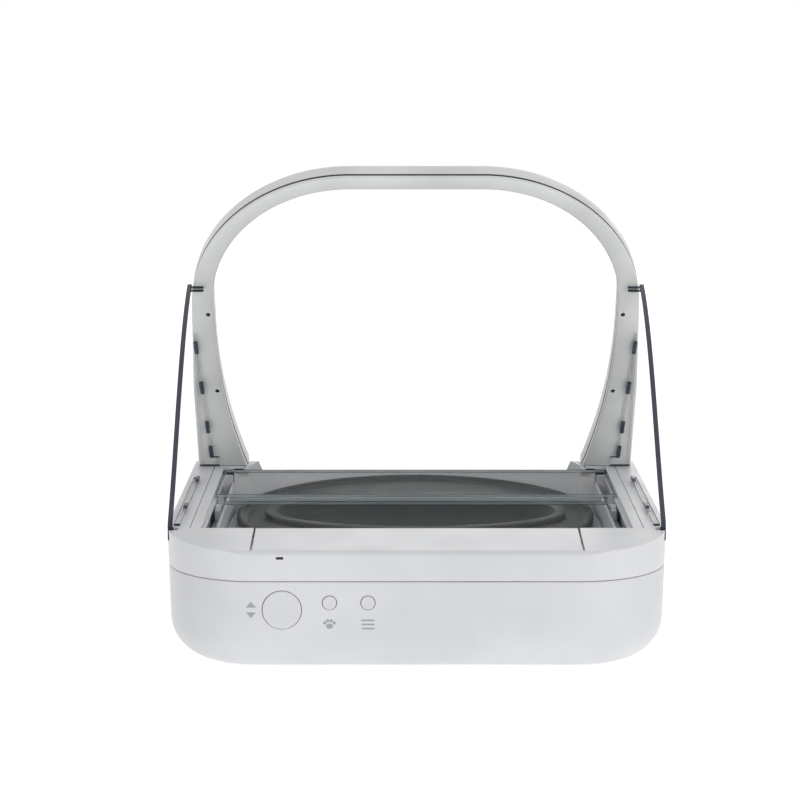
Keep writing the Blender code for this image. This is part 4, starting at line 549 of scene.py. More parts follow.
def cut_edge(name, main_hex, shade_hex, alpha):
    """The edge of a clear sheet, painted. Its nearly opaque colour stands in for the light that runs along
    inside it: painted shade where deep, painted highlight where pale. It is glossy.
    """
    material, tree, shader = new_material(name, IOR=POLYCARBONATE_INDEX, Metallic=0.0, Alpha=alpha,
                                          Specular_IOR_Level=CUT_EDGE_GLOSS_share)
    tone = between(tree, cloud(tree, SMUDGE), 0.0, 1.0)
    tree.links.new(mixed_colour(tree, tone, main_hex, shade_hex), shader.inputs["Base Color"])
    tree.links.new(between(tree, cloud(tree, EDGE_RIPPLE), *CUT_EDGE_ROUGHNESS), shader.inputs["Roughness"])
    return material


def circuit_lacquer(name):
    """Solder lacquer over copper: glossy green with the tracks under it as a faint lighter maze."""
    material, tree, shader = new_material(name, IOR=LACQUER_INDEX, Roughness=LACQUER_ROUGHNESS)
    values = {"Scale": 1 / TRACK_PITCH, "Mortar Size": TRACK_WIDTH_share}
    bricks = add_node(tree, "ShaderNodeTexBrick", values=values, links={"Vector": place_on(tree)})
    maze = bricks.outputs["Fac"]
    tree.links.new(mixed_colour(tree, maze, LACQUER_GREEN, TRACK_GREEN), shader.inputs["Base Color"])
    raise_grain(tree, shader, maze, TRACK_DEPTH)
    return material


def printed_jacket(name):
    """A cell's shrink film: glossy, printed in two plain bands, with no lettering."""
    material, tree, shader = new_material(name, IOR=LACQUER_INDEX, Metallic=JACKET_METAL_share,
                                          Roughness=JACKET_ROUGHNESS)
    bands = waves(tree, JACKET_BAND, "Y")
    tree.links.new(mixed_colour(tree, bands, JACKET_BLUE, JACKET_SHADE), shader.inputs["Base Color"])
    raise_grain(tree, shader, cloud(tree, JACKET_GRAIN), SPARK_DEPTH)
    return material


def printed_ink(name):
    """Pad-printed ink: flat and slightly rough, a little uneven where the pad lifted."""
    material, tree, shader = new_material(name, IOR=INK_INDEX, Roughness=INK_ROUGHNESS)
    patch = between(tree, cloud(tree, SPARK_GRAIN), 0.0, 1.0)
    tree.links.new(mixed_colour(tree, patch, INK_GREY, INK_THIN), shader.inputs["Base Color"])
    return material


finishes = {"circuit_board": circuit_lacquer("solder_lacquer"),
            "cell_jacket": printed_jacket("cell_shrink_film"),
            "ink": printed_ink("pad_printed_ink")}
for maker, rows in ((moulded_plastic, MOULDED_FINISHES), (turned_metal, METAL_FINISHES),
                    (clear_sheet, SHEET_FINISHES), (cut_edge, EDGE_FINISHES)):
    for slot, *values in rows:
        finishes[slot] = maker(*values)


def dress(thing, *slots):
    """Gives a piece its finishes, in order."""
    thing.data.materials.clear()
    for slot in slots:
        thing.data.materials.append(finishes[slot])


def tidy_mesh(mesh, sharp=SHARP_ANGLE):
    """Points the faces out, shades the mesh smooth and keeps its real corners sharp."""
    work = bmesh.new()
    work.from_mesh(mesh)
    bmesh.ops.remove_doubles(work, verts=work.verts, dist=WELD_DISTANCE)
    bmesh.ops.recalc_face_normals(work, faces=work.faces)
    work.to_mesh(mesh)
    work.free()
    mesh.shade_smooth()
    mesh.set_sharp_from_angle(angle=sharp)


def new_piece(name, mesh, finish=None):
    """A new object with its finish; without one it is a cutter."""
    mesh.materials.clear()
    if finish:
        mesh.materials.append(finishes[finish])
    thing = bpy.data.objects.new(name, mesh)
    bpy.context.scene.collection.objects.link(thing)
    return thing


def skin(name, rings, finish=None, ends="caps"):
    """Skins equal rings of points in order. The ends are capped, or the last ring meets the first."""
    work = bmesh.new()
    rows = [[work.verts.new(spot) for spot in ring] for ring in rings]
    pairs = list(zip(rows, rows[1:]))
    if ends == "loop":
        pairs.append((rows[-1], rows[0]))
    for low_row, high_row in pairs:
        for place in range(len(low_row)):
            ahead = (place + 1) % len(low_row)
            work.faces.new((low_row[place], low_row[ahead], high_row[ahead], high_row[place]))
    if ends == "caps":
        work.faces.new(list(reversed(rows[0])))
        work.faces.new(rows[-1])
    mesh = bpy.data.meshes.new(name)
    work.to_mesh(mesh)
    work.free()
    tidy_mesh(mesh)
    return new_piece(name, mesh, finish)


def block(name, low, high):
    """A cutter between two corners."""
    ring = [(low[0], low[1]), (high[0], low[1]), (high[0], high[1]), (low[0], high[1])]
    return skin(name, [[(x, y, z) for x, y in ring] for z in (low[2], high[2])])


def round_bar(name, axis, middle, radius, length, steps=SMALL_CIRCLE_STEPS):
    """A round cutter or boss along one axis, centred on a point."""
    rings = []
    for end in (-length / 2, length / 2):
        ring = []
        for step in range(steps):
            across = radius * math.cos(math.tau * step / steps)
            up = radius * math.sin(math.tau * step / steps)
            spot = {"X": (end, across, up), "Y": (across, end, up), "Z": (across, up, end)}[axis]
            ring.append([place + shift for place, shift in zip(middle, spot)])
        rings.append(ring)
    return skin(name, rings)


def outline_block(name, axis, outline, low, high):
    """A flat outline given thickness along one axis."""
    placed = {"X": lambda across, up, end: (end, across, up), "Y": lambda across, up, end: (across, end, up),
              "Z": lambda across, up, end: (across, up, end)}[axis]
    return skin(name, [[placed(across, up, end) for across, up in outline] for end in (low, high)])


def shaped(thing, operation, *others):
    """Cuts, joins or keeps a piece with other solids, then bakes the result and removes them."""
    for other in others:
        modifier = thing.modifiers.new(other.name, "BOOLEAN")
        modifier.operation = operation
        modifier.solver = "EXACT"
        modifier.object = other
    graph = bpy.context.evaluated_depsgraph_get()
    mesh = bpy.data.meshes.new_from_object(thing.evaluated_get(graph))
    thing.modifiers.clear()
    thing.data = mesh
    for other in others:
        bpy.data.objects.remove(other, do_unlink=True)
    return thing


def cut(thing, *others):
    return shaped(thing, "DIFFERENCE", *others)


def join(thing, *others):
    return shaped(thing, "UNION", *others)


def soften(thing, width, segments=ROUND_EDGE_STEPS, angle=SHARP_ANGLE, rounding_material=-1):
    """Rounds the piece's sharp edges as moulding does, and keeps its broad faces flat in the light."""
    bevel = thing.modifiers.new("moulded_edges", "BEVEL")
    bevel.material = rounding_material
    bevel.width = width
    bevel.segments = segments
    bevel.limit_method = "ANGLE"
    bevel.angle_limit = angle
    bevel.use_clamp_overlap = True
    bevel.miter_outer = "MITER_ARC"
    bevel.harden_normals = True
    return thing


def finish_piece(thing, body, slot, *replaced):
    """Lets a piece ride on its body and hides the solids it stands for. Its slot is not used."""
    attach(thing, body)
    if replaced:
        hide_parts(*replaced)
    return thing


def mirrored(outline):
    return [(-across, up) for across, up in reversed(outline)]


def handed(outline, side):
    """An outline drawn for the right-hand side, moved to its own side."""
    return outline if side > 0 else mirrored(outline)


def arch_plate(name, outline, side, low_depth, high_depth):
    """A flat piece that lies along the arch's rear face, from its outline in (x, height)."""
    return lean(outline_block(name, "Y", handed(outline, side), -high_depth, -low_depth))


def oval(half_width, half_length, centre_y, steps=MAT_STEPS):
    return [(half_width * math.cos(math.tau * step / steps),
             centre_y + half_length * math.sin(math.tau * step / steps)) for step in range(steps)]


def seam_z(y):
    """Height of the seam between the casings: level at the rear, lower towards the front lip."""
    if y <= SEAM_BEND_Y:
        return SEAM_REAR_Z
    along = (y - SEAM_BEND_Y) / (FRONT_Y - SEAM_BEND_Y)
    return SEAM_REAR_Z + (SEAM_FRONT_Z - SEAM_REAR_Z) * along


def base_ring(height, inset):
    """One level of the base outline. Height is a number or a function of Y."""
    ring = []
    centre_x = BASE_WIDTH / 2 - CORNER_RADIUS
    centre_y = BASE_DEPTH / 2 - CORNER_RADIUS
    for turn, (side_x, side_y) in enumerate(((1, 1), (-1, 1), (-1, -1), (1, -1))):
        for step in range(CORNER_STEPS + 1):
            angle = math.pi / 2 * (turn + step / CORNER_STEPS)
            out_x, out_y = math.cos(angle), math.sin(angle)
            z = height(side_y * centre_y + CORNER_RADIUS * out_y) if callable(height) else height
            reach = CORNER_RADIUS - inset - (DECK_Z - z) * math.tan(SIDE_DRAFT)
            middle_y = side_y * centre_y + (FRONT_REACH if side_y > 0 else 0)
            ring.append((side_x * centre_x + reach * out_x, middle_y + reach * out_y, z))
    return ring


def wall_outer_y(z):
    """Y of the rear wall's outer face at a height, above the bottom fillet."""
    return REAR_Y + (DECK_Z - z) * math.tan(SIDE_DRAFT)


def fillet_rings(wall):
    """The bottom fillet's rings from the floor up, for the outer skin or one wall inside it."""
    rings = []
    for step in range(FILLET_STEPS + 1):
        angle = math.pi / 2 * step / FILLET_STEPS
        radius = BOTTOM_FILLET - wall
        z = FOOT_HEIGHT + BOTTOM_FILLET - radius * math.cos(angle)
        rings.append(base_ring(z, BOTTOM_FILLET - radius * math.sin(angle)))
    return rings


def seam_edge_rings(side):
    """Rings that round a casing's outer edge at the seam, from the wall to the edge's flat."""
    rings = []
    for step in range(SEAM_EDGE_STEPS + 1):
        angle = math.pi / 2 * step / SEAM_EDGE_STEPS
        drop = SEAM_EDGE_ROUND * (1 - math.sin(angle)) + GAP / 2
        inset = SEAM_EDGE_ROUND * (1 - math.cos(angle))
        rings.append(base_ring(lambda y: seam_z(y) + side * drop, inset))
    return rings


def crown_outline(drop):
    """What is cut away above the base: the crown line from rear to front, and the block over it."""
    line = [(REAR_Y - CUT_OVERRUN, CREASE_Z - CREASE_ROUND)]
    for step in range(CROWN_ROUND_STEPS + 1):
        angle = math.pi / 2 * step / CROWN_ROUND_STEPS
        line.append((REAR_Y + CREASE_ROUND * (1 - math.cos(angle)),
                     CREASE_Z - CREASE_ROUND * (1 - math.sin(angle))))
    line.append((DECK_FRONT_Y, DECK_Z))
    line.append((SLOPE_START_Y, DECK_Z))
    line.append((FRONT_Y - SLOPE_SHOULDER_FROM_FRONT, SLOPE_SHOULDER_Z))
    line.append((FRONT_Y - SLOPE_MID_FROM_FRONT, SLOPE_MID_Z))
    line.append((FRONT_Y - LIP_FROM_FRONT, LIP_Z))
    for step in range(1, CROWN_ROUND_STEPS + 1):
        angle = math.pi / 2 * step / CROWN_ROUND_STEPS
        line.append((FRONT_Y - LIP_FROM_FRONT * (1 - math.sin(angle)),
                     LIP_Z - LIP_ROUND * (1 - math.cos(angle))))
    line.append((FRONT_Y + CUT_OVERRUN, LIP_Z - LIP_ROUND))
    lowered = [(y, z - drop) for y, z in line]
    over = BLOCK_TOP_Z + CUT_OVERRUN
    return lowered + [(FRONT_Y + CUT_OVERRUN, over), (REAR_Y - CUT_OVERRUN, over)]


def crown_cutter(name, drop):
    reach = BASE_WIDTH / 2 + CUT_OVERRUN
    return outline_block(name, "X", crown_outline(drop), -reach, reach)


def front_oval(grow):
    """The front half of the opening round the mat, closed across the middle."""
    half_width = MAT_HALF_WIDTH + TRAY_WALL_PLAY + TRAY_WALL + grow
    half_length = MAT_HALF_LENGTH + TRAY_WALL_PLAY + TRAY_WALL + grow
    half_count = MAT_STEPS // 2
    return [(half_width * math.cos(math.pi * step / half_count),
             MAT_CENTRE_Y + half_length * math.sin(math.pi * step / half_count))
            for step in range(half_count + 1)]


def button_list():
    return (("open_close_button", BIG_BUTTON_PLACE, BIG_BUTTON_RADIUS),
            ("add_pet_button", PET_BUTTON_PLACE, SMALL_BUTTON_RADIUS),
            ("function_button", FUNCTION_BUTTON_PLACE, SMALL_BUTTON_RADIUS))


def screw_places():
    return [(side * SCREW_X, y) for side in (-1, 1) for y in SCREW_YS]


def build_lower_casing():
    """The white tub: a rounded skin whose top edge is softened along the seam."""
    rings = fillet_rings(0.0) + seam_edge_rings(-1)
    rings.append(base_ring(lambda y: seam_z(y) - GAP / 2, WALL))
    rings.extend(reversed(fillet_rings(WALL)))
    casing = skin("casing_tub", rings, "white_abs")
    cutters = []
    for name, (x, z), radius in button_list():
        middle = (x, wall_outer_y(z), z)
        cutters.append(round_bar(name + "_hole", "Y", middle, radius + GAP, WALL * HOLE_DEPTH_scale,
                                 CIRCLE_STEPS))
    for label in ("left", "right"):
        low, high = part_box("battery_door_" + label)
        window_low = (low.x - GAP, low.y - GAP - DOOR_TRAVEL, low.z - CUT_OVERRUN)
        cutters.append(block("bay_window_" + label, window_low,
                             (high.x + GAP, high.y + GAP, high.z + CUT_OVERRUN)))
    posts = []
    for x, y in screw_places():
        top = seam_z(y + SCREW_POST_RADIUS) - GAP
        seat = top - SCREW_SEAT_BELOW_SEAM
        post = round_bar("screw_post", "Z", (x, y, (top + FOOT_HEIGHT + WALL) / 2), SCREW_POST_RADIUS,
                         top - FOOT_HEIGHT - WALL)
        bound = skin("post_bound", fillet_rings(WALL / 2) + [base_ring(BLOCK_TOP_Z, WALL / 2)])
        posts.append(shaped(post, "INTERSECT", bound))
        cutters.append(round_bar("screw_bore", "Z", (x, y, seat / 2 - GAP), SCREW_HEAD_RADIUS + GAP, seat))
        cutters.append(round_bar("shank_bore", "Z", (x, y, top), SCREW_SHANK_RADIUS + GAP,
                                 SCREW_SEAT_BELOW_SEAM * HOLE_REACH_scale))
    join(casing, *posts)
    cut(casing, *cutters)
    tidy_mesh(casing.data)
    soften(casing, BUTTON_HOLE_ROUND)
    return finish_piece(casing, "housing", "white_abs", "lower_casing")


def ledge_outline(side, grow):
    """The lowered ledge for a side panel's foot at a rear corner, in plan, from its inner edge out."""
    line = [(side * (BASE_WIDTH / 2 - inset - grow), REAR_Y + far)
            for inset, far in zip(PANEL_LEDGE_INSETS, PANEL_LEDGE_FROM_REAR)]
    line[0] = (line[0][0], line[0][1] + grow)
    line[-1] = (line[-1][0], line[-1][1] - grow)
    beyond = side * (BASE_WIDTH / 2 + CUT_OVERRUN)
    outline = line + [(beyond, line[-1][1]), (beyond, line[0][1])]
    return outline if side < 0 else list(reversed(outline))


def build_upper_casing():
    """The white top: its wall, its decks and its slope, cut open for the lid, the cover and the mat."""
    low_z = FOOT_HEIGHT + BOTTOM_FILLET
    rings = [base_ring(lambda y: seam_z(y) + GAP / 2, WALL)] + list(reversed(seam_edge_rings(1)))
    rings += [base_ring(BLOCK_TOP_Z, 0.0), base_ring(BLOCK_TOP_Z, WALL)]
    casing = skin("casing_top", rings, "white_abs", ends="loop")
    deck = skin("deck_plate", [base_ring(low_z, WALL / 2), base_ring(BLOCK_TOP_Z, WALL / 2)], "white_abs")
    reach = BASE_WIDTH / 2 + CUT_OVERRUN
    under = [(y, z) for y, z in crown_outline(TOP_WALL)[:-2]]
    under += [(FRONT_Y + CUT_OVERRUN, 0), (REAR_Y - CUT_OVERRUN, 0)]
    cut(deck, outline_block("under_deck", "X", under, -reach, reach))
    join(casing, deck)
    high_z = BLOCK_TOP_Z + CUT_OVERRUN
    for side in (-1, 1):
        rim = outline_block("ledge_rim", "Z", ledge_outline(side, PANEL_LEDGE_RIM),
                            PANEL_LEDGE_Z - PANEL_LEDGE_FLOOR, BLOCK_TOP_Z)
        bound = skin("ledge_bound", [base_ring(low_z, WALL / 2), base_ring(BLOCK_TOP_Z, WALL / 2)])
        join(casing, shaped(rim, "INTERSECT", bound))
    half_cover = DECK_COVER_HALF_WIDTH + DECK_COVER_PLAY
    half_width = LIGHT_WIDTH / 2 + GAP
    half_height = LIGHT_HEIGHT / 2 + GAP
    cut(casing, crown_cutter("crown", 0.0),
        outline_block("left_ledge", "Z", ledge_outline(-1, 0.0), PANEL_LEDGE_Z, high_z),
        outline_block("right_ledge", "Z", ledge_outline(1, 0.0), PANEL_LEDGE_Z, high_z),
        block("lid_opening", (-LID_OPENING_HALF_WIDTH, DECK_FRONT_Y, low_z),
              (LID_OPENING_HALF_WIDTH, LID_OPENING_FRONT_Y, high_z)),
        block("cover_opening", (-half_cover, REAR_Y + CREASE_ROUND, low_z),
              (half_cover, DECK_FRONT_Y + CUT_OVERRUN, high_z)),
        outline_block("mat_opening", "Z", front_oval(GAP), low_z, high_z),
        block("light_slot", (LIGHT_X - half_width, REAR_Y - CUT_OVERRUN, LIGHT_Z - half_height),
              (LIGHT_X + half_width, REAR_Y + WALL + CUT_OVERRUN, LIGHT_Z + half_height)))
    tidy_mesh(casing.data)
    soften(casing, CASING_EDGE_ROUND)
    return finish_piece(casing, "housing", "white_abs", "upper_casing")


def lean(thing):
    """Leans a piece that was built upright, with its depth along Y, round the arch's foot."""
    turn = Matrix.Rotation(ARCH_LEAN, 4, "X")
    thing.data.transform(Matrix.Translation((0, ARCH_FOOT_Y, DECK_Z)) @ turn)
    return thing


def arch_inner_x(height):
    flare_share = max(0.0, (ARCH_FLARE_HEIGHT - height) / ARCH_FLARE_HEIGHT)
    return ARCH_INNER_HALF_WIDTH - ARCH_FLARE * flare_share ** 2


def arch_outer_x(height):
    if height <= ARCH_BULGE_HEIGHT:
        return ARCH_FOOT_HALF_WIDTH + ARCH_BULGE * height / ARCH_BULGE_HEIGHT
    along = (height - ARCH_BULGE_HEIGHT) / (ARCH_SHOULDER_HEIGHT - ARCH_BULGE_HEIGHT)
    return ARCH_BULGE_HALF_WIDTH + (ARCH_SHOULDER_HALF_WIDTH - ARCH_BULGE_HALF_WIDTH) * along


def arch_stations():
    """Pairs of outer and inner points in (x, height) along the arch, from its right foot to its left."""
    pairs = [((ARCH_FOOT_HALF_WIDTH, -ARCH_ROOT), (arch_inner_x(0), -ARCH_ROOT))]
    for step in range(ARCH_STRAIGHT_STEPS + 1):
        share = step / ARCH_STRAIGHT_STEPS
        outer_height = ARCH_SHOULDER_HEIGHT * share
        inner_height = ARCH_INNER_SHOULDER_HEIGHT * share
        pairs.append(((arch_outer_x(outer_height), outer_height), (arch_inner_x(inner_height), inner_height)))
    for step in range(1, ARCH_CORNER_STEPS + 1):
        angle = math.pi / 2 * step / ARCH_CORNER_STEPS
        outer = (ARCH_TOP_FLAT_HALF + (ARCH_SHOULDER_HALF_WIDTH - ARCH_TOP_FLAT_HALF) * math.cos(angle),
                 ARCH_SHOULDER_HEIGHT + (ARCH_HEIGHT - ARCH_SHOULDER_HEIGHT) * math.sin(angle))
        inner_rise = ARCH_HEIGHT - ARCH_TOP_BAND - ARCH_INNER_SHOULDER_HEIGHT
        inner = (ARCH_TOP_FLAT_HALF + (ARCH_INNER_HALF_WIDTH - ARCH_TOP_FLAT_HALF) * math.cos(angle),
                 ARCH_INNER_SHOULDER_HEIGHT + inner_rise * math.sin(angle))
        pairs.append((outer, inner))
    other_side = [((-outer[0], outer[1]), (-inner[0], inner[1])) for outer, inner in reversed(pairs)]
    return pairs + other_side


def arch_section(outer, inner, corners):
    """One closed section of an arch shell, from corners of (from the inner side, inset, depth, radius)."""
    outer, inner = Vector(outer), Vector(inner)
    across = outer - inner
    width = across.length
    across.normalize()
    flat = [Vector((inset if from_inner else width - inset, depth))
            for from_inner, inset, depth, radius in corners]
    ring = []
    for place, (from_inner, inset, depth, radius) in enumerate(corners):
        here = flat[place]
        before = (flat[place - 1] - here).normalized()
        after = (flat[(place + 1) % len(flat)] - here).normalized()
        for step in range(ARCH_EDGE_STEPS + 1):
            angle = math.pi / 2 * step / ARCH_EDGE_STEPS
            spot = here + before * radius * (1 - math.sin(angle)) + after * radius * (1 - math.cos(angle))
            x, height = inner + across * spot.x
            ring.append((x, spot.y, height))
    return ring


def build_arch():
    """The two shells of the reader arch, with rounded outer edges and a fine groove at their seam, whose
    faces are painted dark as shade.
    """
    wall = ARCH_SHELL_WALL
    groove = ARCH_GROOVE_DEPTH
    edge = ARCH_GROOVE_ROUND
    front_corners = ((False, groove, 0, edge), (False, groove, ARCH_GROOVE_WIDTH, edge),
                     (False, 0, ARCH_GROOVE_WIDTH, edge), (False, 0, ARCH_FRONT_DEPTH, ARCH_EDGE_ROUND),
                     (True, 0, ARCH_FRONT_DEPTH, ARCH_EDGE_ROUND), (True, 0, ARCH_GROOVE_WIDTH, edge),
                     (True, groove, ARCH_GROOVE_WIDTH, edge), (True, groove, 0, edge),
                     (True, wall, 0, edge), (True, wall, ARCH_FRONT_DEPTH - wall, ARCH_SEAM_ROUND),
                     (False, wall, ARCH_FRONT_DEPTH - wall, ARCH_SEAM_ROUND), (False, wall, 0, edge))
    rear_corners = ((False, 0, -ARCH_REAR_DEPTH, ARCH_EDGE_ROUND), (False, 0, -GAP, ARCH_SEAM_ROUND),
                    (True, 0, -GAP, ARCH_SEAM_ROUND), (True, 0, -ARCH_REAR_DEPTH, ARCH_EDGE_ROUND))
    stations = arch_stations()
    shells = {"front": front_corners, "rear": rear_corners}
    for label, corners in shells.items():
        rings = [arch_section(outer, inner, corners) for outer, inner in stations]
        shell = skin("arch_%s_skin" % label, rings)
        dress(shell, "arch_abs", "seam_shade")
        # Faces in the front shell's groove are painted dark as the seam's shade.
        for face in shell.data.polygons:
            in_painted_seam_shade = label == "front" and face.center.y < ARCH_GROOVE_WIDTH + ARCH_GROOVE_ROUND / 2
            face.material_index = SECOND_FINISH if in_painted_seam_shade else FIRST_FINISH
        lean(shell)
        floor = block("arch_foot_floor", (-BASE_WIDTH, REAR_Y, 0), (BASE_WIDTH, FRONT_Y, DECK_Z + GAP))
        cutters = [floor]
        if label == "rear":
            for number, (side, height) in enumerate(
                    [(side, height) for side in (-1, 1) for height in SENSOR_HEIGHTS]):
                x = side * (arch_inner_x(height) + SENSOR_FROM_INNER_EDGE)
                hole = round_bar("sensor_hole_%d" % number, "Y", (x, -ARCH_REAR_DEPTH / 2, height),
                                 SENSOR_RADIUS + GAP, ARCH_REAR_DEPTH + CUT_OVERRUN)
                cutters.append(lean(hole))
        cut(shell, *cutters)
        tidy_mesh(shell.data)
        finish_piece(shell, "housing", "arch_abs", "arch_%s_shell" % label)


def arch_point(along, depth):
    """Y and Z of a point of the leaning arch."""
    return (ARCH_FOOT_Y - along * math.sin(ARCH_LEAN) + depth * math.cos(ARCH_LEAN),
            DECK_Z + along * math.cos(ARCH_LEAN) + depth * math.sin(ARCH_LEAN))


def panel_outline():
    """The side panel's outline in (y, z): its foot, its edge along the arch, and its free curved edge."""
    low_z = DECK_Z + GAP
    back = ARCH_REAR_DEPTH + GAP
    front_low = ARCH_FOOT_Y - back / math.cos(ARCH_LEAN) - GAP * math.tan(ARCH_LEAN)
    start = Vector(arch_point(PANEL_TOP_HEIGHT_ON_ARCH, -back))
    end = Vector((PANEL_REAR_Y, low_z + PANEL_TOE))
    out = (end - start).orthogonal().normalized()
    if out.x > 0:
        out = -out
    points = [(front_low, low_z)]
    for step in range(PANEL_EDGE_STEPS + 1):
        share = step / PANEL_EDGE_STEPS
        swell = PANEL_EDGE_BULGE * PANEL_EDGE_BULGE_scale * share * (1 - share) ** 2
        spot = start.lerp(end, share) + out * swell
        points.append((spot.x, spot.y))
    points.append((PANEL_REAR_Y, PANEL_LEDGE_Z + GAP))
    points.append((PANEL_LEDGE_FRONT_Y - GAP, PANEL_LEDGE_Z + GAP))
    points.append((PANEL_LEDGE_FRONT_Y - GAP, low_z))
    return points


def colour_edges(mesh, square_to):
    """Gives every face but the broad ones square to one direction the second finish, the painted light and
    shade of a cut edge.

    The long faces that lie against the arch and the deck stay clear.
    """
    direction = Vector(square_to).normalized()
    sideways = abs(direction.x) > SQUARE_NORMAL_share
    largest = max(face.area for face in mesh.polygons)
    for face in mesh.polygons:
        square = abs(face.normal.dot(direction)) > SQUARE_NORMAL_share
        hidden = sideways and (face.normal.y > RISING_NORMAL_share or face.normal.z < -RISING_NORMAL_share)
        broad = (square or hidden) and face.area > largest * BROAD_FACE_share
        face.material_index = FIRST_FINISH if broad else SECOND_FINISH


def flange_x(height):
    """How far out the flange's inner edge lies at a height on the arch, before the panel's taper."""
    return BASE_WIDTH / 2 - FLANGE_TIP_INSET + FLANGE_SPREAD_share * height


def add_panel_piece(name, thing, side, square_to=None):
    """Tapers a piece of the panel, gives it clear faces with painted shade on its cut edges or paints all of
    it in the clip's painted shade, and mounts it.
    """
    rise = arch_point(PANEL_TOP_HEIGHT_ON_ARCH, 0)[1] - DECK_Z
    for vertex in thing.data.vertices:
        vertex.co.x -= side * PANEL_TAPER * (vertex.co.z - DECK_Z) / rise
    tidy_mesh(thing.data)
    if square_to:
        dress(thing, "panel_sheet", "panel_cut_edge")
        colour_edges(thing.data, square_to)
    else:
        dress(thing, "panel_clip")
    soften(thing, PANEL_EDGE_ROUND, FINE_ROUND_STEPS)
    return finish_piece(thing, "housing", "clear_polycarbonate", *([name] if name else []))


def build_side_panel(label, side):
    """A clear panel with a foot in its ledge, and flanges and clips along the arch and the deck."""
    outer = PANEL_OUTER_HALF_WIDTH
    inner = outer - PANEL_THICKNESS
    root = inner + CLIP_ROOT
    rings = [[(x, y, z) for y, z in panel_outline()] for x in sorted((side * inner, side * outer))]
    add_panel_piece("side_panel_" + label, skin("clear_panel_" + label, rings), side, (1, 0, 0))
    back = ARCH_REAR_DEPTH + GAP + FLANGE_SET_BACK
    front = back + FLANGE_THICKNESS
    along_arch = (0, math.cos(ARCH_LEAN), math.sin(ARCH_LEAN))
    flange_top = (inner - flange_x(0)) / FLANGE_SPREAD_share
    bar_top = FLANGE_LOW + FLANGE_BAR_HEIGHT
    bar_x = BASE_WIDTH / 2 - FLANGE_BAR_INSET
    outline = [(bar_x, FLANGE_LOW), (inner, FLANGE_LOW), (inner, flange_top), (flange_x(bar_top), bar_top),
               (bar_x, bar_top)]
    add_panel_piece(None, arch_plate("arch_flange", outline, side, back, front), side, along_arch)
    for height in CLIP_HEIGHTS_ON_ARCH:
        low, high = height - CLIP_LENGTH / 2, height + CLIP_LENGTH / 2
        half = CLIP_WIDTH / 2
        outline = [(flange_x(low) - half, low), (flange_x(low) + half, low), (flange_x(high) + half, high),
                   (flange_x(high) - half, high)]
        add_panel_piece(None, arch_plate("arch_clip", outline, side, front - CLIP_SINK,
                                         front + CLIP_DEPTH), side)
    tab_top = PANEL_TOP_HEIGHT_ON_ARCH - TOP_TAB_HEIGHT / 2
    outline = [(root - TOP_TAB_REACH, tab_top - TOP_TAB_HEIGHT), (root, tab_top - TOP_TAB_HEIGHT),
               (root, tab_top), (root - TOP_TAB_REACH, tab_top)]
    add_panel_piece(None, arch_plate("top_tab", outline, side, back, front + CLIP_DEPTH), side, along_arch)
    deck_low = DECK_Z + GAP + FLANGE_SET_BACK
    deck_x = BASE_WIDTH / 2 - DECK_FLANGE_INSET
    outline = [(deck_x, PANEL_LEDGE_FRONT_Y + GAP), (inner, PANEL_LEDGE_FRONT_Y + GAP),
               (inner, PANEL_FOOT_CLIP_YS[-1] + CLIP_LENGTH), (deck_x, PANEL_FOOT_CLIP_YS[-1] + CLIP_LENGTH)]
    add_panel_piece(None, outline_block("deck_flange", "Z", handed(outline, side), deck_low,
                                        deck_low + FLANGE_THICKNESS), side, (0, 0, 1))
    for y in PANEL_FOOT_CLIP_YS:
        clip_x = deck_x - FLANGE_SET_BACK
        outline = [(clip_x, y - CLIP_LENGTH / 2), (clip_x + CLIP_WIDTH, y - CLIP_LENGTH / 2),
                   (clip_x + CLIP_WIDTH, y + CLIP_LENGTH / 2), (clip_x, y + CLIP_LENGTH / 2)]
        clip_low = deck_low + FLANGE_THICKNESS - CLIP_SINK
        add_panel_piece(None, outline_block("foot_clip", "Z", handed(outline, side), clip_low,
                                            clip_low + CLIP_DEPTH + CLIP_SINK), side)
    foot_low = PANEL_LEDGE_Z + GAP + FLANGE_SET_BACK
    foot_rear = PANEL_REAR_Y + FLANGE_SET_BACK
    foot_front = PANEL_LEDGE_FRONT_Y - GAP - FLANGE_SET_BACK
    outline = [(outer - PANEL_FOOT_REACH, foot_rear), (outer - CLIP_ROOT, foot_rear),
               (outer - CLIP_ROOT, foot_front), (outer - PANEL_FOOT_REACH, foot_front)]
    add_panel_piece(None, outline_block("panel_foot", "Z", handed(outline, side), foot_low,
                                        foot_low + PANEL_FOOT_THICKNESS), side)


def round_cornered(low, high, radii):
    """A flat rectangle with its own radius at each corner: front right, front left, rear left, rear right."""
    spots = ((high[0], high[1], -1, -1), (low[0], high[1], 1, -1),
             (low[0], low[1], 1, 1), (high[0], low[1], -1, 1))
    outline = []
    for turn, ((x, y, way_x, way_y), radius) in enumerate(zip(spots, radii)):
        for step in range(LEAF_CORNER_STEPS + 1):
            angle = math.pi / 2 * (turn + step / LEAF_CORNER_STEPS)
            outline.append((x + radius * (way_x + math.cos(angle)), y + radius * (way_y + math.sin(angle))))
    return outline


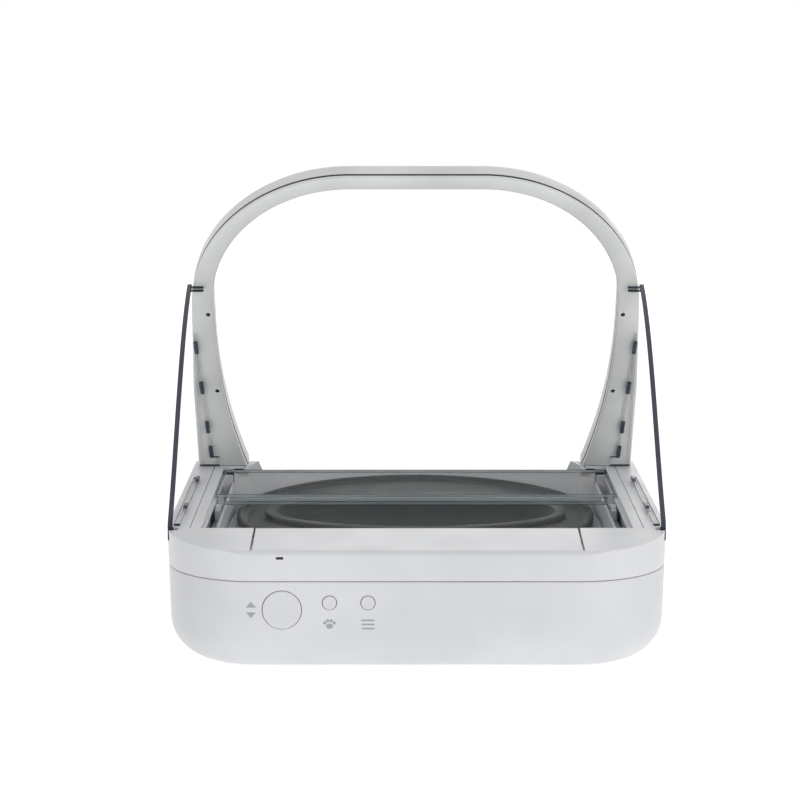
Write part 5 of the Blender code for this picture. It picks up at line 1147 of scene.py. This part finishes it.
def build_leaf(name, body, top_z, bottom_z, y_span, half_width, radii, lips):
    """A clear lid leaf: its sheet, whose cut edge is painted pale as a highlight and whose rounded edges are
    painted dark as two fine lines of shade, and its faint lips below.
    """
    outline = round_cornered((-half_width, y_span[0]), (half_width, y_span[1]), radii)
    sheet = outline_block(name + "_sheet", "Z", outline, bottom_z, top_z)
    tidy_mesh(sheet.data)
    dress(sheet, "clear_polycarbonate", "leaf_cut_edge", "leaf_corner")
    colour_edges(sheet.data, (0, 0, 1))
    # The leaf's rounded edges take painted shade, which draws them as fine dark lines.
    soften(sheet, LEAF_EDGE_ROUND, FINE_ROUND_STEPS, rounding_material=THIRD_FINISH)
    finish_piece(sheet, body, "clear_polycarbonate", name)
    for finish, low, high in lips:
        lip = block(name + "_lip", low, high)
        dress(lip, finish)
        tidy_mesh(lip.data)
        soften(lip, SMALL_EDGE_ROUND, FINE_ROUND_STEPS)
        finish_piece(lip, body, "clear_polycarbonate")


def build_leaves():
    """The lid's front leaf and the rear leaf that stows below it."""
    front_bottom = FRONT_LEAF_TOP_Z - LEAF_THICKNESS
    rear_top = FRONT_LEAF_TOP_Z - LEAF_STEP
    front_y = LID_OPENING_FRONT_Y - GAP
    rear_y = front_y - FRONT_LEAF_LENGTH
    overlap_y = rear_y + LEAF_LIP_THICKNESS * 2 + LEAF_LIP_PLAY
    half_lip = REAR_LEAF_HALF_WIDTH - LEAF_LIP_INSET
    lip_low, lip_high = front_bottom - LEAF_LIP_DROP, front_bottom - LEAF_LIP_SET_IN
    # The rear lip takes the leaf edge's painted highlight.
    lip_places = (("leaf_cut_edge", rear_y), ("clear_polycarbonate", front_y - LEAF_LIP_THICKNESS))
    front_lips = [(finish, (-half_lip, y, lip_low), (half_lip, y + LEAF_LIP_THICKNESS, lip_high))
                  for finish, y in lip_places]
    build_leaf("lid_front_leaf", "front_leaf", FRONT_LEAF_TOP_Z, front_bottom, (rear_y, front_y),
               LID_OPENING_HALF_WIDTH - RAIL_FLANGE_WIDTH - GAP, [LEAF_CORNER] * 4, front_lips)
    rear_lip = ("clear_polycarbonate",
                (-half_lip, overlap_y - LEAF_LIP_THICKNESS, rear_top + LEAF_LIP_SET_IN),
                (half_lip, overlap_y, front_bottom - GAP))
    corners = [LEAF_CORNER] * 2 + [REAR_LEAF_CORNER] * 2
    build_leaf("lid_rear_leaf", "rear_leaf", rear_top, rear_top - LEAF_THICKNESS,
               (REAR_LEAF_REAR_Y, overlap_y), REAR_LEAF_HALF_WIDTH, corners, [rear_lip])


def tilted(z, y):
    """The mat and its tray slope gently down towards the animal."""
    return z - MAT_TILT_share * (y - MAT_CENTRE_Y)


def oval_ring(half_width, half_length, centre_y, z, tilt=True):
    return [(x, y, tilted(z, y) if tilt else z) for x, y in oval(half_width, half_length, centre_y)]


def mat_ring(inset, z):
    return oval_ring(MAT_HALF_WIDTH - inset, MAT_HALF_LENGTH - inset, MAT_CENTRE_Y, z)


def bowl_ring(grow, z, tilt=False):
    return oval_ring(BOWL_HALF_WIDTH - BOWL_RIM_WIDTH + grow, BOWL_HALF_LENGTH - BOWL_RIM_WIDTH + grow,
                     BOWL_CENTRE_Y, z, tilt)


def dish_wall(low_z, high_z, grow):
    """Rings of a dish wall from the floor up: a rounded floor edge, then the sloping side."""
    rings = []
    for step in range(DISH_ROUND_STEPS + 1):
        angle = math.pi / 2 * step / DISH_ROUND_STEPS
        inset = BOWL_WALL_SLOPE + BOWL_FLOOR_ROUND * (1 - math.sin(angle))
        rings.append(bowl_ring(grow - inset, low_z + BOWL_FLOOR_ROUND * (1 - math.cos(angle))))
    rings.append(bowl_ring(grow, high_z))
    return rings


def build_bowl():
    """A shallow oval dish whose flat rim has softly rounded edges."""
    under_rim_z = BOWL_RIM_Z - BOWL_THICKNESS
    rings = dish_wall(BOWL_FLOOR_Z, under_rim_z, 0.0)
    rings.append(bowl_ring(BOWL_RIM_WIDTH, under_rim_z))
    for step in range(RIM_ROUND_STEPS + 1):
        angle = math.pi / 2 * step / RIM_ROUND_STEPS
        rings.append(bowl_ring(BOWL_RIM_WIDTH - BOWL_RIM_ROUND * (1 - math.cos(angle)),
                               BOWL_RIM_Z - BOWL_RIM_ROUND * (1 - math.sin(angle))))
    inner = dish_wall(BOWL_FLOOR_Z + BOWL_THICKNESS, BOWL_RIM_Z - BOWL_RIM_ROUND, -BOWL_THICKNESS)
    rings.append(bowl_ring(BOWL_RIM_ROUND - BOWL_THICKNESS, BOWL_RIM_Z))
    rings.extend(reversed(inner))
    bowl = skin("food_bowl", rings, "bowl_plastic")
    return finish_piece(bowl, "housing", "bowl_plastic", "bowl")


def build_mat():
    """The oval mat: a rolled rim, a sloping floor, and the deep pocket that the bowl drops into."""
    floor_z = MAT_RIM_Z - MAT_RIM_HEIGHT
    play = POCKET_PLAY
    rings = dish_wall(POCKET_BOTTOM_Z, MAT_UNDERSIDE_Z - MAT_THICKNESS, play + MAT_THICKNESS)
    rings.append(bowl_ring(play + MAT_THICKNESS, MAT_UNDERSIDE_Z, tilt=True))
    rings.append(mat_ring(MAT_RIM_WIDTH / 2, MAT_UNDERSIDE_Z))
    rings.append(mat_ring(0.0, MAT_UNDERSIDE_Z + MAT_THICKNESS))
    roll = MAT_RIM_WIDTH / 2
    for step in range(MAT_ROLL_STEPS + 1):
        angle = math.pi * step / MAT_ROLL_STEPS
        rings.append(mat_ring(roll * (1 - math.cos(angle)), MAT_RIM_Z - roll * (1 - math.sin(angle))))
    rings.append(mat_ring(MAT_RIM_WIDTH + MAT_THICKNESS, floor_z))
    rings.append(bowl_ring(play + MAT_LIP_ROUND, floor_z, tilt=True))
    rings.append(bowl_ring(play, floor_z - MAT_LIP_ROUND, tilt=True))
    inner = dish_wall(POCKET_BOTTOM_Z + MAT_THICKNESS, floor_z - MAT_THICKNESS, play)
    rings.extend(reversed(inner))
    mat = skin("feeding_mat", rings, "mat_rubber")
    return finish_piece(mat, "housing", "mat_rubber", "bowl_mat")


def build_tray_shoulders():
    """Short walls that close the corners between the tray's oval wall and the lid's rails."""
    inner = BASE_WIDTH / 2 - SHOULDER_INNER_INSET
    outer = BASE_WIDTH / 2 - SHOULDER_OUTER_INSET
    high_z = DECK_Z - TOP_WALL / 2
    outline = [(inner, LID_OPENING_FRONT_Y), (outer, LID_OPENING_FRONT_Y),
               (outer, LID_OPENING_FRONT_Y + TRAY_WALL), (inner, LID_OPENING_FRONT_Y + TRAY_WALL)]
    for side in (-1, 1):
        wall = outline_block("tray_shoulder", "Z", handed(outline, side), SHOULDER_LOW_Z, high_z)
        tidy_mesh(wall.data)
        soften(wall, SMALL_EDGE_ROUND, FINE_ROUND_STEPS)
        finish_piece(wall, "housing", "white_abs")


def build_button(name, body, place, radius):
    """A push button's cap: a slightly dished face with a rounded edge, its flange and its stem."""
    x, z = place
    low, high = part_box(name)
    face_y, end_y = low.y, high.y
    wall_y = wall_outer_y(z - radius) + WALL + GAP
    profile = []
    for step in range(BUTTON_FACE_STEPS + 1):
        share = step / BUTTON_FACE_STEPS
        reach = (radius - BUTTON_EDGE_ROUND) * share
        profile.append((max(reach, BUTTON_HUB_RADIUS), face_y + BUTTON_DISH * (1 - share ** 2)))
    for step in range(1, BUTTON_ROUND_STEPS + 1):
        angle = math.pi / 2 * step / BUTTON_ROUND_STEPS
        profile.append((radius - BUTTON_EDGE_ROUND * (1 - math.sin(angle)),
                        face_y + BUTTON_EDGE_ROUND * (1 - math.cos(angle))))
    flange = radius + BUTTON_FLANGE
    profile += [(radius, wall_y), (flange, wall_y), (flange, wall_y + BUTTON_FLANGE_THICKNESS),
                (BUTTON_STEM_RADIUS, wall_y + BUTTON_FLANGE_THICKNESS), (BUTTON_STEM_RADIUS, end_y)]
    rings = [[(x + reach * math.cos(math.tau * step / CIRCLE_STEPS), y,
               z + reach * math.sin(math.tau * step / CIRCLE_STEPS)) for step in range(CIRCLE_STEPS)]
             for reach, y in profile]
    cap = skin(name + "_cap", rings, "white_button")
    return finish_piece(cap, body, "white_button", name)


def wall_face_y(x, z):
    """Y of the rear wall's face, also where its corners begin to turn."""
    past = abs(x) - (BASE_WIDTH / 2 - CORNER_RADIUS)
    turned = CORNER_RADIUS - math.sqrt(CORNER_RADIUS ** 2 - past ** 2) if past > 0 else 0.0
    return wall_outer_y(z) + turned


def print_mark(name, outline):
    """A flat mark printed on the rear wall, from its outline in (x, z)."""
    rings = [[(x, wall_face_y(x, z) + side * INK_THICKNESS, z) for x, z in outline] for side in (1, -1)]
    mark = skin(name, rings, "ink")
    return finish_piece(mark, "housing", "white_abs")


def dot(x, z, radius, steps=SMALL_CIRCLE_STEPS, stretch=1.0):
    angles = [math.tau * step / steps for step in range(steps)]
    return [(x + radius * math.cos(angle), z + radius * stretch * math.sin(angle)) for angle in angles]


def build_marks():
    """Up and down arrows for the lid button, a paw for the pet button, and menu bars for the third."""
    x, z = ARROW_X, BIG_BUTTON_PLACE[1]
    for label, way in (("up", 1), ("down", -1)):
        foot = z + way * ARROW_GAP
        tip = foot + way * ARROW_HEIGHT
        print_mark("arrow_" + label, [(x - ARROW_WIDTH / 2, foot), (x + ARROW_WIDTH / 2, foot), (x, tip)])
    paw_x = PET_BUTTON_PLACE[0]
    pad = dot(paw_x, MARK_Z - PAW_PAD_RADIUS / 2, PAW_PAD_RADIUS, stretch=PAW_PAD_SQUASH_share)
    print_mark("paw_pad", pad)
    for number, degrees in enumerate(PAW_TOE_ANGLES):
        angle = math.radians(degrees)
        print_mark("paw_toe_%d" % number, dot(paw_x + PAW_TOE_REACH * math.cos(angle),
                                              MARK_Z - PAW_PAD_RADIUS / 2 + PAW_TOE_REACH * math.sin(angle),
                                              PAW_TOE_RADIUS))
    bar_x = FUNCTION_BUTTON_PLACE[0]
    for number in (-1, 0, 1):
        middle = MARK_Z + number * BAR_PITCH
        print_mark("menu_bar_%d" % (number + 1),
                   [(bar_x + way_x * BAR_LENGTH / 2, middle + way_z * BAR_HEIGHT / 2)
                    for way_x, way_z in ((-1, -1), (1, -1), (1, 1), (-1, 1))])


def dress_solid(name, finish, edge_round):
    """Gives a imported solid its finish, joins its split corners and rounds its edges a little."""
    thing = nodes[name]
    mesh = thing.data
    dress(thing, finish)
    if "custom_normal" in mesh.attributes:
        mesh.attributes.remove(mesh.attributes["custom_normal"])
    mesh.shade_smooth()
    weld = thing.modifiers.new("joined_corners", "WELD")
    weld.merge_threshold = WELD_DISTANCE
    soften(thing, edge_round, FINE_ROUND_STEPS)
    return thing


def dress_solids():
    """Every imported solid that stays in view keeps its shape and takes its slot's finish."""
    slots = {entry["node"]: entry["material_slot"] for entry in frame["record"]["subparts"]}
    for name, thing in nodes.items():
        if thing.hide_render:
            continue
        dress_solid(name, slots[name], EDGE_ROUNDS.get(name, SMALL_EDGE_ROUND))
    tray = nodes["inner_tray"].data
    tray.materials.append(finishes["white_abs"])
    for face in tray.polygons:
        beyond_lid = face.center.y > LID_OPENING_FRONT_Y
        face.material_index = SECOND_FINISH if beyond_lid else FIRST_FINISH


def seen_directly(tree):
    """One for what the camera, a reflection or a clear piece shows, and zero for light falling on things."""
    rays = add_node(tree, "ShaderNodeLightPath").outputs
    seen = rays["Is Camera Ray"]
    for kind in ("Is Glossy Ray", "Is Transmission Ray"):
        either = add_node(tree, "ShaderNodeMath", settings={"operation": "MAXIMUM"})
        tree.links.new(seen, either.inputs[0])
        tree.links.new(rays[kind], either.inputs[1])
        seen = either.outputs[0]
    return seen


def white_ground(name, strength):
    """White to the camera and in reflections, where a strength of one is white; the object's shadow shows."""
    material = bpy.data.materials.new(name)
    material.use_nodes = True
    tree = material.node_tree
    tree.nodes.clear()
    plain = add_node(tree, "ShaderNodeBsdfDiffuse", values={"Color": colour(FLOOR_WHITE)}).outputs["BSDF"]
    bounce = add_node(tree, "ShaderNodeEmission", values={"Strength": FLOOR_BOUNCE}).outputs[0]
    lit = add_node(tree, "ShaderNodeAddShader")
    tree.links.new(plain, lit.inputs[0])
    tree.links.new(bounce, lit.inputs[1])
    values = {"Color": WHITE_LIGHT, "Strength": strength}
    glow = add_node(tree, "ShaderNodeEmission", values=values).outputs[0]
    both = add_node(tree, "ShaderNodeAddShader")
    tree.links.new(plain, both.inputs[0])
    tree.links.new(glow, both.inputs[1])
    mix = add_node(tree, "ShaderNodeMixShader", links={"Fac": seen_directly(tree)})
    tree.links.new(lit.outputs[0], mix.inputs[1])
    tree.links.new(both.outputs[0], mix.inputs[2])
    out = add_node(tree, "ShaderNodeOutputMaterial")
    tree.links.new(mix.outputs[0], out.inputs["Surface"])
    return material


def build_stage():
    mesh = bpy.data.meshes.new("studio_floor")
    work = bmesh.new()
    bmesh.ops.create_grid(work, x_segments=1, y_segments=1, size=FLOOR_HALF_SIZE)
    work.to_mesh(mesh)
    work.free()
    floor = bpy.data.objects.new("studio_floor", mesh)
    mesh.materials.append(white_ground("white_studio_floor", FLOOR_GLOW))
    bpy.context.scene.collection.objects.link(floor)


def build_world():
    """Soft white light from all round, and plain white wherever the camera sees past the floor."""
    world = bpy.data.worlds.new("studio_air")
    bpy.context.scene.world = world
    world.use_nodes = True
    tree = world.node_tree
    tree.nodes.clear()
    air = add_node(tree, "ShaderNodeBackground", values={"Color": WHITE_LIGHT, "Strength": AMBIENT_LIGHT})
    white = add_node(tree, "ShaderNodeBackground", values={"Color": WHITE_LIGHT, "Strength": 1.0})
    mix = add_node(tree, "ShaderNodeMixShader", links={"Fac": seen_directly(tree)})
    tree.links.new(air.outputs[0], mix.inputs[1])
    tree.links.new(white.outputs[0], mix.inputs[2])
    out = add_node(tree, "ShaderNodeOutputWorld")
    tree.links.new(mix.outputs[0], out.inputs["Surface"])


def build_lamps():
    """Large soft boxes, each aimed at the middle of the feeder."""
    middle = (solid_low + solid_high) / 2
    for name, place, size, power in SOFT_BOXES:
        lamp = bpy.data.lights.new(name, "AREA")
        lamp.shape = "SQUARE"
        lamp.size = size
        lamp.energy = power
        box = bpy.data.objects.new(name, lamp)
        box.location = place
        box.rotation_euler = (middle - Vector(place)).to_track_quat("-Z", "Y").to_euler()
        bpy.context.scene.collection.objects.link(box)


def build_camera():
    camera = bpy.data.cameras.new("catalogue_camera")
    camera.lens = CAMERA_LENS
    camera.sensor_width = SENSOR_WIDTH
    thing = bpy.data.objects.new("catalogue_camera", camera)
    thing.location = CAMERA_PLACE
    thing.rotation_euler = (CAMERA_TILT, 0, 0)
    bpy.context.scene.collection.objects.link(thing)
    bpy.context.scene.camera = thing


build_camera()
build_world()
build_lamps()
build_stage()
build_lower_casing()
build_upper_casing()
build_arch()
for label, side in (("left", -1), ("right", 1)):
    build_side_panel(label, side)
build_leaves()
build_bowl()
build_mat()
build_tray_shoulders()
bodies = {"open_close_button": "open_close_key", "add_pet_button": "add_pet_key",
          "function_button": "function_key"}
for button_name, button_place, button_radius in button_list():
    build_button(button_name, bodies[button_name], button_place, button_radius)
build_marks()
dress_solids()
bpy.context.scene.view_settings.view_transform = "Standard"
